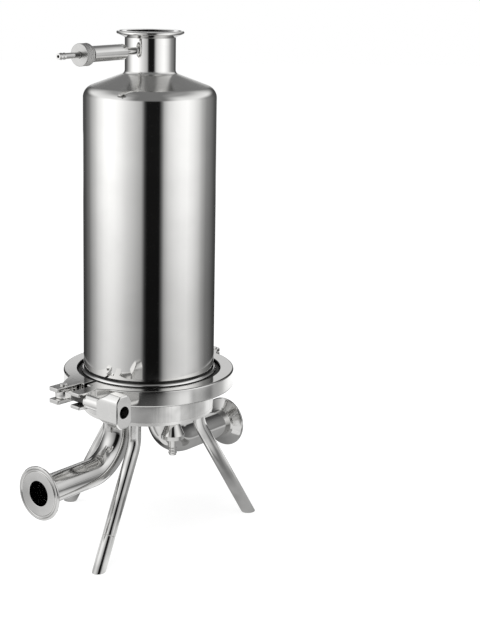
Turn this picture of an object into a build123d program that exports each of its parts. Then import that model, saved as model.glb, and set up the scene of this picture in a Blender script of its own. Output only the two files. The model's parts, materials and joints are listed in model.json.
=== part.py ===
from build123d import *
from math import asin, cos, degrees, radians, sin, sqrt, tan
import os

# Stainless steel filter housing: a bell held by a hinged clamp on a base with three legs.
# Millimetres, +Z up. The origin is on the axis of the bell, on the floor between the feet.
# An azimuth is in degrees, counter-clockwise from +X seen from above.

# Heights above the floor
TOTAL_HEIGHT = 495.0
JOINT_Z = 160.0
DRUM_BOTTOM_Z = 127.5
PORT_Z = 81.0

# Bell, with the neck's height and the vent's place measured down from the top face
BELL_R = 63.5
TUBE_WALL = 1.6
SHOULDER_SLOPE = 21.0
KNUCKLE_R = 12.0
NECK_R = 24.15
NECK_HEIGHT = 39.5
NECK_FILLET_R = 4.0
NECK_COLLAR = 3.0
VENT_DROP = 18.0

# Clamped joint between the bell and the base
FLANGE_REACH = 9.0
FLANGE_EDGE = 2.87
FLANGE_SLOPE = 20.0
FLANGE_NECK_REACH = 2.5
FLANGE_HEIGHT = 8.0
GASKET_THICKNESS = 2.0
GASKET_MARGIN = 0.5
BEAD_R = 1.5
BEAD_OFFSET = 4.5
FIT = 0.05

# Base plate and the socket for the cartridge
PLATE_THICKNESS = 6.0
DRUM_FLOOR_THICKNESS = 3.0
PORT_AZIMUTH = 228.0
SOCKET_OFFSET = 16.0
SOCKET_INSET = 27.5
SOCKET_WALL = 3.0
SOCKET_UNDERCUT = 3.5
SOCKET_UNDERCUT_DEPTH = 5.0
SOCKET_STEP = 7.5
SOCKET_DEPTH = 14.0
SOCKET_LEAD_IN = 1.5
BAYONET_NOTCH_DEPTH = 3.0
BAYONET_NOTCH_WIDTH = 26.0
BAYONET_TURN = 20.0

# Ports: tubes and clamp ferrules
PORT_TUBE_R = 13.45
PORT_FERRULE_R = 25.25
PORT_GROOVE_R = 21.8
INLET_INSET = 18.5
PORT_REACH = 105.0
ELBOW_R = 38.1
TUBE_SEAT_DEPTH = 3.0
NECK_FERRULE_R = 32.0
NECK_GROOVE_R = 28.2
FERRULE_LENGTH = 12.7
FERRULE_GROOVE_R = 1.3
FERRULE_CONE_INSET = 2.5
FERRULE_EDGE_R = 0.8

# Legs: bent rods, each leaning a few degrees to one side of its top
LEG_R = 6.35
LEG_INSET = 11.5
LEG_SPLAY = 60.0
FRONT_LEG_AZIMUTH = 255.0
FRONT_FOOT_AZIMUTH = 245.5
RIGHT_LEG_AZIMUTH = 16.0
RIGHT_FOOT_AZIMUTH = 21.5
REAR_LEG_AZIMUTH = 131.0
REAR_FOOT_AZIMUTH = 137.0
LEG_STRAIGHT = 22.0
LEG_BEND_R = 30.0
LEG_EDGE_R = 1.0

# Clamp: two halves of one ring
CLAMP_WALL = 9.7
CLAMP_GRIP = 2.3
CLAMP_HEIGHT = 15.6
CLAMP_RIM_CLEARANCE = 0.8
CLAMP_CLEARANCE = 0.3
CLAMP_CHAMFER = 0.8
CLAMP_AZIMUTH = 224.0
CLAMP_GAP = 4.0
LUG_ROOT_DEPTH = 7.0
LUG_CORNER = 1.0
LUG_SPREAD = 12.0
SEAT_ROOT_STEP = 3.0

# Forks, swing bolt and nut
BOLT_STANDOFF = 16.5
PIVOT_OFFSET = 12.0
PIVOT_FORK_WIDTH = 13.0
PIVOT_FORK_OVERHANG = 12.5
NUT_FORK_START = 8.0
NUT_FORK_OVERHANG = 9.5
NUT_SEAT_R = 33.5
BOLT_R = 4.0
EYE_SLOT_CLEARANCE = 0.4
BOLT_SLOT_CLEARANCE = 0.8
SLOT_DEPTH_CLEARANCE = 1.5
EYE_R = 8.0
EYE_THICKNESS = 7.0
EYE_NECK_LENGTH = 15.0
PIVOT_PIN_R = 2.5
SLEEVE_R = 6.4
SLEEVE_LENGTH = 21.3
NUT_LENGTH = 27.7
NUT_HEIGHT = 31.0
NUT_WIDTH = 18.0
NUT_FLANK_HEIGHT = 21.0
NUT_TOP_WIDTH = 9.6
NUT_ROOT_HEIGHT = 14.0
NUT_SHOULDER = 12.5
NUT_CHAMFER = 1.0
NUT_MOUTH_R = 5.6
NUT_MOUTH_DEPTH = 11.0
BOLT_END_STEP = 3.2

# Hinge at the back of the clamp
HINGE_STANDOFF = 8.5
KNUCKLE_EAR_R = 7.0
HINGE_PIN_R = 3.0
TONGUE_HEIGHT = 7.4
HINGE_GAP = 0.3
PIN_HEAD_RISE = 1.2

# Vent valve on the neck, measured outward from the bell's axis
VENT_AZIMUTH = 231.0
VENT_STUB_R = 3.6
VENT_STUB_BORE_R = 2.0
VENT_STUB_LENGTH = 15.2
VENT_STUB_SEAT = 4.0
VENT_BODY_R = 7.3
VENT_BODY_LENGTH = 51.0
VENT_BODY_CHAMFER = 2.0
VENT_BORE_R = 3.6
VENT_NOSE_R = 5.0
VENT_NOSE_LENGTH = 5.0
VENT_STEM_R = 2.65
VENT_STEM_BORE_R = 1.3
VENT_KNOB_R = 10.3
VENT_KNOB_LENGTH = 10.0
VENT_BARB_LENGTH = 27.5

# Drain valve under the base, measured downward from the underside of the plate
DRAIN_INSET = 17.5
DRAIN_AZIMUTH = 300.0
DRAIN_HOLE_R = 1.6
DRAIN_SINK_R = 3.2
DRAIN_BODY_R = 6.0
DRAIN_SEAT_DEPTH = 8.0
DRAIN_BORE_R = 2.4
DRAIN_NOSE_R = 3.6
DRAIN_NOSE_LENGTH = 6.0
DRAIN_STEM_R = 1.9
DRAIN_STEM_BORE_R = 1.0
DRAIN_KNOB_TOP_R = 4.8
DRAIN_KNOB_RIM_R = 11.2
DRAIN_CONE_LENGTH = 15.0
DRAIN_RIM_LENGTH = 4.0
DRAIN_BARB_R = 3.6
DRAIN_BARB_LENGTH = 16.5

# Shared by both valves
VALVE_GAP = 0.3
SEAT_LENGTH = 3.0
SEAT_GAP = 0.15
STEM_PLAY = 0.1
WAIST_LENGTH = 4.0
WAIST_INSET = 0.9
CROSS_HOLE_R = 0.8
LAND_LENGTH = 1.5
RING_SHARE = 0.4
COLLAR_THICKNESS = 1.6
BARB_RISE = 0.5
BARB_PITCH = 4.0
BARB_COUNT = 2

# Worked out from the sizes above
AXIS_UP = Vector(0, 0, 1)
SHOULDER_TOP_Z = TOTAL_HEIGHT - NECK_HEIGHT
VENT_Z = TOTAL_HEIGHT - VENT_DROP
HALF_GASKET = GASKET_THICKNESS / 2
FLANGE_R = BELL_R + FLANGE_REACH
FLANGE_NECK_R = BELL_R + FLANGE_NECK_REACH
FLANGE_TAN = tan(radians(FLANGE_SLOPE))
CONE_RISE = (FLANGE_R - FLANGE_NECK_R) * FLANGE_TAN
PLATE_TOP_Z = JOINT_Z - HALF_GASKET
PLATE_UNDER_Z = PLATE_TOP_Z - PLATE_THICKNESS
PLATE_RIM_Z = PLATE_TOP_Z - FLANGE_HEIGHT
BELL_BOTTOM_Z = JOINT_Z + HALF_GASKET + FLANGE_HEIGHT
BELL_BORE_R = BELL_R - TUBE_WALL
NECK_BORE_R = NECK_R - TUBE_WALL
PORT_BORE_R = PORT_TUBE_R - TUBE_WALL
BEAD_PITCH_R = BELL_R + BEAD_OFFSET
SOCKET_OPENING_R = BELL_R - SOCKET_INSET
SOCKET_UNDERCUT_R = SOCKET_OPENING_R + SOCKET_UNDERCUT
SOCKET_BORE_R = SOCKET_OPENING_R - SOCKET_STEP
BAYONET_NOTCH_R = SOCKET_OPENING_R + BAYONET_NOTCH_DEPTH
INLET_R = BELL_R - INLET_INSET
DRAIN_PITCH_R = BELL_R - DRAIN_INSET
LEG_TOP_PITCH_R = BELL_R - LEG_INSET
LEG_FOOT_PITCH_R = LEG_TOP_PITCH_R + LEG_SPLAY
CLAMP_INNER_R = FLANGE_R - CLAMP_GRIP
CLAMP_GROOVE_R = FLANGE_R + CLAMP_RIM_CLEARANCE
CLAMP_OUTER_R = CLAMP_GROOVE_R + CLAMP_WALL
LUG_ROOT_R = CLAMP_OUTER_R - LUG_ROOT_DEPTH
HINGE_DISTANCE = CLAMP_OUTER_R + HINGE_STANDOFF
BOLT_DISTANCE = CLAMP_OUTER_R + BOLT_STANDOFF
PIVOT_FORK_REACH = BOLT_DISTANCE + PIVOT_FORK_OVERHANG
NUT_FORK_REACH = BOLT_DISTANCE + NUT_FORK_OVERHANG


def spot(radius, azimuth, z=0.0):
    """Point at a radius and azimuth about the bell's axis."""
    return Vector(radius * cos(radians(azimuth)), radius * sin(radians(azimuth)), z)


def turning_plane(origin, direction, side):
    """Plane for a turned section: local X is the radius, local Y runs along the axis."""
    return Plane(origin=origin, x_dir=side, z_dir=side.cross(direction))


def clamp_plane(z):
    """Plan view of the clamp: local X points from the axis to the gap, local Y to the nut."""
    return Plane(origin=(0, 0, z), x_dir=spot(1, CLAMP_AZIMUTH), z_dir=(0, 0, 1))


def finish(piece, label):
    """Name a finished piece and write its STEP file."""
    piece.part.label = label
    export_step(piece.part, f"parts/{label}.step")


def turned(label, plane, *outline):
    """Turned piece from a closed outline of (radius, distance along the axis) points."""
    with BuildPart() as piece:
        with BuildSketch(plane):
            with BuildLine():
                Polyline(*outline, close=True)
            make_face()
        revolve(axis=Axis(plane.origin, plane.y_dir))
    finish(piece, label)


def ferrule(label, face_centre, outward, side, flange_r, tube_r, groove_r):
    """Weld ferrule whose sealing face is at face_centre and looks outward."""
    cone_r = tube_r + FERRULE_CONE_INSET
    cone_back = FLANGE_EDGE + (flange_r - cone_r) * FLANGE_TAN
    with BuildPart() as piece:
        with BuildSketch(turning_plane(face_centre, outward, side)):
            with BuildLine():
                Polyline(
                    (tube_r - TUBE_WALL, 0),
                    (flange_r - FERRULE_EDGE_R, 0),
                    (flange_r, -FERRULE_EDGE_R),
                    (flange_r, FERRULE_EDGE_R - FLANGE_EDGE),
                    (flange_r - FERRULE_EDGE_R, -FLANGE_EDGE),
                    (cone_r, -cone_back),
                    (tube_r, -cone_back - FERRULE_CONE_INSET / 2),
                    (tube_r, -FERRULE_LENGTH),
                    (tube_r - TUBE_WALL, -FERRULE_LENGTH),
                    close=True,
                )
            make_face()
            with Locations((groove_r, 0)):
                Circle(FERRULE_GROOVE_R, mode=Mode.SUBTRACT)
        revolve(axis=Axis(face_centre, outward))
    finish(piece, label)


def port_tube(label, centre, top_z, azimuth):
    """Elbow from a vertical tube under the plate to a level tube behind the ferrule."""
    outward = spot(1, azimuth)
    level_end = PORT_REACH - FERRULE_LENGTH
    with BuildPart() as piece:
        with BuildLine(Plane(origin=centre, x_dir=outward, z_dir=outward.cross(AXIS_UP))):
            FilletPolyline((0, top_z), (0, PORT_Z), (level_end, PORT_Z), radius=ELBOW_R)
        with BuildSketch(Plane(origin=centre + AXIS_UP * top_z, z_dir=(0, 0, -1))):
            Circle(PORT_TUBE_R)
            Circle(PORT_BORE_R, mode=Mode.SUBTRACT)
        sweep()
    finish(piece, label)
    face_centre = centre + outward * PORT_REACH + AXIS_UP * PORT_Z
    return face_centre, outward


def stem_end(bore_r, stem_r, seat_r, seat_at):
    """Inner end of a valve stem: cone on the seat, waist, and two lands beside the ring."""
    plug_r = bore_r - STEM_PLAY
    cone_r = plug_r - STEM_PLAY
    cone_end = seat_at + SEAT_LENGTH * (cone_r - seat_r) / (bore_r - seat_r)
    waist_r = min(stem_r, bore_r - WAIST_INSET)
    waist_end = cone_end + WAIST_LENGTH
    groove_r = bore_r * (1 - RING_SHARE)
    groove_end = waist_end + LAND_LENGTH + 2 * ring_radius(bore_r) + 2 * STEM_PLAY
    return (
        (seat_r, seat_at),
        (cone_r, cone_end),
        (waist_r, cone_end),
        (waist_r, waist_end),
        (plug_r, waist_end),
        (plug_r, waist_end + LAND_LENGTH),
        (groove_r, waist_end + LAND_LENGTH),
        (groove_r, groove_end),
        (plug_r, groove_end),
        (plug_r, groove_end + LAND_LENGTH),
        (stem_r, groove_end + LAND_LENGTH),
    )


def ring_radius(bore_r):
    """Section radius of the sealing ring that fits between a stem's groove and its bore."""
    return bore_r * RING_SHARE / 2 - FIT / 2


def barb(root_r, start, end):
    """Outline of a hose barb, from its root to its tip, as (radius, distance) points."""
    points = [(root_r, start)]
    for step in range(BARB_COUNT, 0, -1):
        ridge = end - step * BARB_PITCH
        points += [(root_r, ridge), (root_r + BARB_RISE, ridge)]
        points += [(root_r, ridge + BARB_PITCH / 2)]
    return (*points, (root_r, end))


def sealing_ring(label, plane, bore_r, end_points):
    """Round ring in the groove of a valve stem."""
    groove_start, groove_end = end_points[6][1], end_points[7][1]
    pitch_r = bore_r * (1 - RING_SHARE / 2)
    with BuildPart() as piece:
        with BuildSketch(plane):
            with Locations((pitch_r, (groove_start + groove_end) / 2)):
                Circle(ring_radius(bore_r))
        revolve(axis=Axis(plane.origin, plane.y_dir))
    finish(piece, label)


def stem(label, plane, outline, bore_r, cross_at):
    """Valve stem: a turned pin with a blind bore and a cross hole behind its cone."""
    bore = ((bore_r, outline[-1][1]), (bore_r, cross_at), (0, cross_at))
    with BuildPart() as piece:
        with BuildSketch(plane):
            with BuildLine():
                Polyline((0, outline[0][1]), *outline, *bore, close=True)
            make_face()
        revolve(axis=Axis(plane.origin, plane.y_dir))
        centre = plane.from_local_coords((0, cross_at + CROSS_HOLE_R, 0))
        with BuildSketch(Plane(origin=centre, z_dir=plane.z_dir)):
            Circle(CROSS_HOLE_R)
        extrude(amount=2 * bore_r + outline[0][0], both=True, mode=Mode.SUBTRACT)
    finish(piece, label)


os.makedirs("parts", exist_ok=True)

# Bell: a spun shell with a sloping shoulder and a short pulled collar for the neck.
knuckle_z = SHOULDER_TOP_Z - (BELL_R - NECK_R) * tan(radians(SHOULDER_SLOPE))
with BuildPart() as bell_shell:
    with BuildSketch(Plane.XZ):
        with BuildLine():
            FilletPolyline(
                (BELL_R, BELL_BOTTOM_Z),
                (BELL_R, knuckle_z),
                (NECK_R, SHOULDER_TOP_Z),
                (NECK_R, SHOULDER_TOP_Z + NECK_COLLAR),
                radius=(KNUCKLE_R, NECK_FILLET_R),
            )
            offset(amount=TUBE_WALL, side=Side.LEFT)
        make_face()
    revolve(axis=Axis.Z)
finish(bell_shell, "bell_shell")

# Neck: a length of tube with a hole for the vent stub, and the top ferrule.
neck_bottom_z = SHOULDER_TOP_Z + NECK_COLLAR
neck_top_z = TOTAL_HEIGHT - FERRULE_LENGTH
vent_out = spot(1, VENT_AZIMUTH)
with BuildPart() as neck_tube:
    with BuildSketch(Plane.XY.offset(neck_bottom_z)):
        Circle(NECK_R)
        Circle(NECK_BORE_R, mode=Mode.SUBTRACT)
    extrude(amount=neck_top_z - neck_bottom_z)
    with BuildSketch(Plane(origin=(0, 0, VENT_Z), z_dir=vent_out)):
        Circle(VENT_STUB_R + FIT)
    extrude(amount=NECK_R + TUBE_WALL, mode=Mode.SUBTRACT)
finish(neck_tube, "neck_tube")

top_centre = Vector(0, 0, TOTAL_HEIGHT)
side = Vector(1, 0, 0)
ferrule("neck_ferrule", top_centre, AXIS_UP, side, NECK_FERRULE_R, NECK_R, NECK_GROOVE_R)

# Bell flange: the cone that the clamp grips, with a groove for the gasket's bead.
flange_z = JOINT_Z + HALF_GASKET
with BuildPart() as bell_flange:
    with BuildSketch(Plane.XZ):
        with BuildLine():
            Polyline(
                (BELL_BORE_R, flange_z),
                (FLANGE_R, flange_z),
                (FLANGE_R, flange_z + FLANGE_EDGE),
                (FLANGE_NECK_R, flange_z + FLANGE_EDGE + CONE_RISE),
                (BELL_R, BELL_BOTTOM_Z),
                (BELL_BORE_R, BELL_BOTTOM_Z),
                close=True,
            )
        make_face()
        with Locations((BEAD_PITCH_R, flange_z)):
            Circle(BEAD_R + FIT, mode=Mode.SUBTRACT)
    revolve(axis=Axis.Z)
finish(bell_flange, "bell_flange")

# Gasket: a flat ring with a round bead on both faces.
gasket_inner_r = BELL_BORE_R + GASKET_MARGIN
gasket_outer_r = FLANGE_R - GASKET_MARGIN
with BuildPart() as joint_gasket:
    with BuildSketch(Plane.XZ):
        with Locations(((gasket_inner_r + gasket_outer_r) / 2, JOINT_Z)):
            Rectangle(gasket_outer_r - gasket_inner_r, GASKET_THICKNESS)
        with Locations((BEAD_PITCH_R, JOINT_Z - HALF_GASKET), (BEAD_PITCH_R, JOINT_Z + HALF_GASKET)):
            Circle(BEAD_R)
    revolve(axis=Axis.Z)
finish(joint_gasket, "joint_gasket")

# Base plate: its rim, and the openings for the inlet, the drain and the cartridge.
socket_centre = spot(SOCKET_OFFSET, PORT_AZIMUTH - 180)
inlet_centre = spot(INLET_R, PORT_AZIMUTH)
drain_centre = spot(DRAIN_PITCH_R, DRAIN_AZIMUTH)
with BuildPart() as base_plate:
    with BuildSketch(Plane.XZ):
        with BuildLine():
            Polyline(
                (0, PLATE_TOP_Z),
                (FLANGE_R, PLATE_TOP_Z),
                (FLANGE_R, PLATE_TOP_Z - FLANGE_EDGE),
                (FLANGE_NECK_R, PLATE_TOP_Z - FLANGE_EDGE - CONE_RISE),
                (BELL_R, PLATE_RIM_Z),
                (BELL_BORE_R, PLATE_RIM_Z),
                (BELL_BORE_R, PLATE_UNDER_Z),
                (0, PLATE_UNDER_Z),
                close=True,
            )
        make_face()
        with Locations((BEAD_PITCH_R, PLATE_TOP_Z)):
            Circle(BEAD_R + FIT, mode=Mode.SUBTRACT)
    revolve(axis=Axis.Z)
    with BuildSketch(Plane.XY.offset(PLATE_TOP_Z)):
        with Locations(Location(socket_centre, (0, 0, PORT_AZIMUTH + BAYONET_TURN))):
            Rectangle(2 * BAYONET_NOTCH_R, BAYONET_NOTCH_WIDTH)
            Circle(BAYONET_NOTCH_R, mode=Mode.INTERSECT)
        with Locations(socket_centre):
            Circle(SOCKET_OPENING_R)
        with Locations(inlet_centre):
            Circle(PORT_BORE_R)
    extrude(amount=-PLATE_THICKNESS, mode=Mode.SUBTRACT)
    with BuildSketch(Plane.XY.offset(PLATE_UNDER_Z)):
        with Locations(inlet_centre):
            Circle(PORT_TUBE_R + FIT)
    extrude(amount=TUBE_SEAT_DEPTH, mode=Mode.SUBTRACT)
    with Locations(drain_centre + AXIS_UP * PLATE_TOP_Z):
        CounterSinkHole(DRAIN_HOLE_R, DRAIN_SINK_R, depth=PLATE_THICKNESS)
finish(base_plate, "base_plate")

# Drum under the plate: a skirt and a floor.
drum_floor_z = DRUM_BOTTOM_Z + DRUM_FLOOR_THICKNESS
with BuildPart() as drum_skirt:
    with BuildSketch(Plane.XY.offset(drum_floor_z)):
        Circle(BELL_R)
        Circle(BELL_BORE_R, mode=Mode.SUBTRACT)
    extrude(amount=PLATE_RIM_Z - drum_floor_z)
finish(drum_skirt, "drum_skirt")

with BuildPart() as drum_floor:
    with BuildSketch(Plane.XY.offset(DRUM_BOTTOM_Z)):
        Circle(BELL_R)
        with Locations(inlet_centre, socket_centre):
            Circle(PORT_TUBE_R + FIT, mode=Mode.SUBTRACT)
        with Locations(drain_centre):
            Circle(DRAIN_BODY_R + FIT, mode=Mode.SUBTRACT)
    extrude(amount=DRUM_FLOOR_THICKNESS)
finish(drum_floor, "drum_floor")

# Socket: the cup under the plate, with an undercut for the bayonet and a sealing bore.
undercut_z = PLATE_UNDER_Z - SOCKET_UNDERCUT_DEPTH
cup_floor_z = PLATE_UNDER_Z - SOCKET_DEPTH
cup_bottom_z = cup_floor_z - SOCKET_WALL
turned(
    "cartridge_socket",
    turning_plane(socket_centre, AXIS_UP, side),
    (SOCKET_UNDERCUT_R, PLATE_UNDER_Z),
    (SOCKET_UNDERCUT_R + SOCKET_WALL, PLATE_UNDER_Z),
    (SOCKET_UNDERCUT_R + SOCKET_WALL, undercut_z - SOCKET_WALL),
    (SOCKET_BORE_R + SOCKET_WALL, undercut_z - SOCKET_WALL),
    (SOCKET_BORE_R + SOCKET_WALL, cup_bottom_z),
    (PORT_BORE_R, cup_bottom_z),
    (PORT_BORE_R, cup_floor_z),
    (SOCKET_BORE_R, cup_floor_z),
    (SOCKET_BORE_R, undercut_z - SOCKET_LEAD_IN),
    (SOCKET_BORE_R + SOCKET_LEAD_IN, undercut_z),
    (SOCKET_UNDERCUT_R, undercut_z),
)

# Ports: one tube from the plate, one from the socket, in one line through the axis.
ports = (
    ("inlet", inlet_centre, PLATE_UNDER_Z + TUBE_SEAT_DEPTH, PORT_AZIMUTH),
    ("outlet", socket_centre, cup_bottom_z, PORT_AZIMUTH - 180),
)
for port, centre, top_z, azimuth in ports:
    face_centre, outward = port_tube(f"{port}_elbow", centre, top_z, azimuth)
    port_ferrule = (PORT_FERRULE_R, PORT_TUBE_R, PORT_GROOVE_R)
    ferrule(f"{port}_ferrule", face_centre, outward, AXIS_UP, *port_ferrule)

# Legs: bent rods under the drum, cut level with the floor.
legs = (
    ("front_leg", FRONT_LEG_AZIMUTH, FRONT_FOOT_AZIMUTH),
    ("right_leg", RIGHT_LEG_AZIMUTH, RIGHT_FOOT_AZIMUTH),
    ("rear_leg", REAR_LEG_AZIMUTH, REAR_FOOT_AZIMUTH),
)
for label, top_azimuth, foot_azimuth in legs:
    top = spot(LEG_TOP_PITCH_R, top_azimuth, DRUM_BOTTOM_Z)
    knee = top - AXIS_UP * LEG_STRAIGHT
    foot = spot(LEG_FOOT_PITCH_R, foot_azimuth)
    beyond = foot + (foot - knee).normalized() * 2 * LEG_R
    with BuildPart() as leg:
        with BuildLine():
            FilletPolyline(top, knee, beyond, radius=LEG_BEND_R)
        with BuildSketch(Plane(origin=top, z_dir=(0, 0, -1))):
            Circle(LEG_R)
        sweep()
        split(bisect_by=Plane.XY, keep=Keep.TOP)
        fillet(leg.faces().sort_by(Axis.Z)[0].edges(), LEG_EDGE_R)
    finish(leg, label)

# Clamp: each half is a length of the ring with a lug at the front and a knuckle at the back.
half_height = CLAMP_HEIGHT / 2
gap_angle = degrees(asin(CLAMP_GAP / 2 / CLAMP_OUTER_R))
seat_rise = CLAMP_CLEARANCE / cos(radians(FLANGE_SLOPE)) + HALF_GASKET + FLANGE_EDGE
lip_z = seat_rise + (FLANGE_R - CLAMP_INNER_R) * FLANGE_TAN
groove_z = seat_rise + (FLANGE_R - CLAMP_GROOVE_R) * FLANGE_TAN
pivot_far = PIVOT_OFFSET + PIVOT_FORK_WIDTH / 2
pivot_near = PIVOT_OFFSET - PIVOT_FORK_WIDTH / 2
tongue_half = TONGUE_HEIGHT / 2


def seat_point(distance):
    """Point of the round nut seat at a distance from the bell's axis, in plan."""
    reach = distance - BOLT_DISTANCE
    return distance, sqrt(NUT_SEAT_R**2 - reach**2) - PIVOT_OFFSET


def clamp_section():
    """Half-ring section: a V groove that closes over both flanges."""
    upper = [
        (CLAMP_GROOVE_R, groove_z),
        (CLAMP_INNER_R, lip_z),
        (CLAMP_INNER_R, half_height),
        (CLAMP_OUTER_R - CLAMP_CHAMFER, half_height),
        (CLAMP_OUTER_R, half_height - CLAMP_CHAMFER),
    ]
    return upper + [(radius, -height) for radius, height in reversed(upper)]


def clamp_ring(start):
    """Half of the clamp ring, from a start azimuth and a gap short of half a turn."""
    first = spot(1, start + gap_angle)
    with BuildSketch(turning_plane(AXIS_UP * JOINT_Z, AXIS_UP, first)) as section:
        with BuildLine():
            Polyline(*clamp_section(), close=True)
        make_face()
    revolve(section.sketch, axis=Axis.Z, revolution_arc=180 - 2 * gap_angle)


def knuckle_outline(turn):
    """Web from the hinge knuckle to the ring, on the side that turn (1 or -1) gives."""
    inner = KNUCKLE_EAR_R - HINGE_DISTANCE
    return (
        (-HINGE_DISTANCE, 0),
        (-HINGE_DISTANCE, turn * KNUCKLE_EAR_R),
        (-LUG_ROOT_R, turn * (KNUCKLE_EAR_R + LUG_SPREAD)),
        (-LUG_ROOT_R, turn * CLAMP_GAP / 2),
        (inner, turn * CLAMP_GAP / 2),
        (inner, 0),
    )


def pocket(bottom, top):
    """Room for the other half's knuckle: a round pocket about the hinge pin."""
    with BuildSketch(clamp_plane(JOINT_Z + bottom)) as room:
        with Locations((-HINGE_DISTANCE, 0)):
            Circle(KNUCKLE_EAR_R + HINGE_GAP)
    extrude(room.sketch, amount=top - bottom, mode=Mode.SUBTRACT)


def slot(inner_end, height):
    """Slot through a lug, open away from the axis."""
    with BuildSketch(clamp_plane(JOINT_Z - height / 2)) as opening:
        with Locations((inner_end, 0)):
            Rectangle(LUG_ROOT_R, 2 * LUG_ROOT_R, align=(Align.MIN, Align.CENTER))
    extrude(opening.sketch, amount=height, mode=Mode.SUBTRACT)


def pin_hole(x, y, pin_r):
    """Running fit for an upright pin through the clamp."""
    with BuildSketch(clamp_plane(JOINT_Z - CLAMP_HEIGHT)) as hole:
        with Locations((x, y)):
            Circle(pin_r + FIT)
    extrude(hole.sketch, amount=2 * CLAMP_HEIGHT, mode=Mode.SUBTRACT)


with BuildPart() as left_clamp_half:
    clamp_ring(CLAMP_AZIMUTH + 180)
    with BuildSketch(clamp_plane(JOINT_Z - half_height)):
        with BuildLine():
            Polyline(
                (LUG_ROOT_R, -pivot_near),
                (PIVOT_FORK_REACH - LUG_CORNER, -pivot_near),
                (PIVOT_FORK_REACH, -pivot_near - LUG_CORNER),
                (PIVOT_FORK_REACH, -pivot_far + LUG_CORNER),
                (PIVOT_FORK_REACH - LUG_CORNER, -pivot_far),
                (CLAMP_OUTER_R + LUG_SPREAD, -pivot_far),
                (LUG_ROOT_R, -pivot_far - LUG_SPREAD),
                close=True,
            )
        make_face()
        with BuildLine():
            Polyline(*knuckle_outline(-1), close=True)
        make_face()
        with Locations((-HINGE_DISTANCE, 0)):
            Circle(KNUCKLE_EAR_R)
    extrude(amount=CLAMP_HEIGHT)
    pocket(tongue_half, CLAMP_HEIGHT)
    pocket(-CLAMP_HEIGHT, -tongue_half)
    slot(BOLT_DISTANCE - EYE_R - SLOT_DEPTH_CLEARANCE, EYE_THICKNESS + EYE_SLOT_CLEARANCE)
    pin_hole(-HINGE_DISTANCE, 0, HINGE_PIN_R)
    pin_hole(BOLT_DISTANCE, -PIVOT_OFFSET, PIVOT_PIN_R)
finish(left_clamp_half, "left_clamp_half")

seat_tip = seat_point(NUT_FORK_REACH)
seat_mid = seat_point(BOLT_DISTANCE)
seat_root = seat_point(CLAMP_OUTER_R + SEAT_ROOT_STEP)
ear_half = tongue_half + HINGE_GAP
with BuildPart() as right_clamp_half:
    clamp_ring(CLAMP_AZIMUTH)
    with BuildSketch(clamp_plane(JOINT_Z - half_height)):
        with BuildLine():
            Polyline(
                seat_root,
                (LUG_ROOT_R, seat_root[1] + LUG_SPREAD),
                (LUG_ROOT_R, NUT_FORK_START),
                (NUT_FORK_REACH, NUT_FORK_START),
                seat_tip,
            )
            ThreePointArc(seat_tip, seat_mid, seat_root)
        make_face()
        with BuildLine():
            Polyline(*knuckle_outline(1), close=True)
        make_face()
        with Locations((-HINGE_DISTANCE, 0)):
            Circle(KNUCKLE_EAR_R)
    extrude(amount=CLAMP_HEIGHT)
    pocket(-ear_half, ear_half)
    slot(BOLT_DISTANCE - BOLT_R - SLOT_DEPTH_CLEARANCE, 2 * BOLT_R + BOLT_SLOT_CLEARANCE)
    pin_hole(-HINGE_DISTANCE, 0, HINGE_PIN_R)
finish(right_clamp_half, "right_clamp_half")


def headed_pin(label, x, y, pin_r):
    """Upright pin through the clamp, with a low head on each end."""
    centre = clamp_plane(JOINT_Z).from_local_coords((x, y, 0))
    end = half_height + FIT
    head_r = pin_r + PIN_HEAD_RISE
    turned(
        label,
        turning_plane(centre, AXIS_UP, side),
        (0, -end - PIN_HEAD_RISE),
        (head_r, -end - PIN_HEAD_RISE),
        (head_r, -end),
        (pin_r, -end),
        (pin_r, end),
        (head_r, end),
        (head_r, end + PIN_HEAD_RISE),
        (0, end + PIN_HEAD_RISE),
    )


headed_pin("hinge_pin", -HINGE_DISTANCE, 0, HINGE_PIN_R)
headed_pin("bolt_pivot_pin", BOLT_DISTANCE, -PIVOT_OFFSET, PIVOT_PIN_R)

# Swing bolt: an eye and a flat neck in the fork, then a round shank to the nut.
sleeve_start = NUT_SEAT_R + CLAMP_CLEARANCE
nut_start = sleeve_start + SLEEVE_LENGTH
nut_end = nut_start + NUT_LENGTH
bolt_end = nut_end - NUT_MOUTH_DEPTH + BOLT_END_STEP
pivot = clamp_plane(JOINT_Z).from_local_coords((BOLT_DISTANCE, -PIVOT_OFFSET, 0))
bolt_out = spot(1, CLAMP_AZIMUTH + 90)
with BuildPart() as swing_bolt:
    with BuildSketch(Plane(origin=pivot - AXIS_UP * EYE_THICKNESS / 2, x_dir=bolt_out)):
        Circle(EYE_R)
        Rectangle(EYE_NECK_LENGTH, 2 * BOLT_R, align=(Align.MIN, Align.CENTER))
        Circle(PIVOT_PIN_R + FIT, mode=Mode.SUBTRACT)
    extrude(amount=EYE_THICKNESS)
    with BuildSketch(Plane(origin=pivot + bolt_out * EYE_NECK_LENGTH, z_dir=bolt_out)):
        Circle(BOLT_R)
    extrude(amount=bolt_end - EYE_NECK_LENGTH)
    chamfer(swing_bolt.faces().sort_by(Axis(pivot, bolt_out))[-1].edges(), BOLT_R / 4)
finish(swing_bolt, "swing_bolt")

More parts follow.
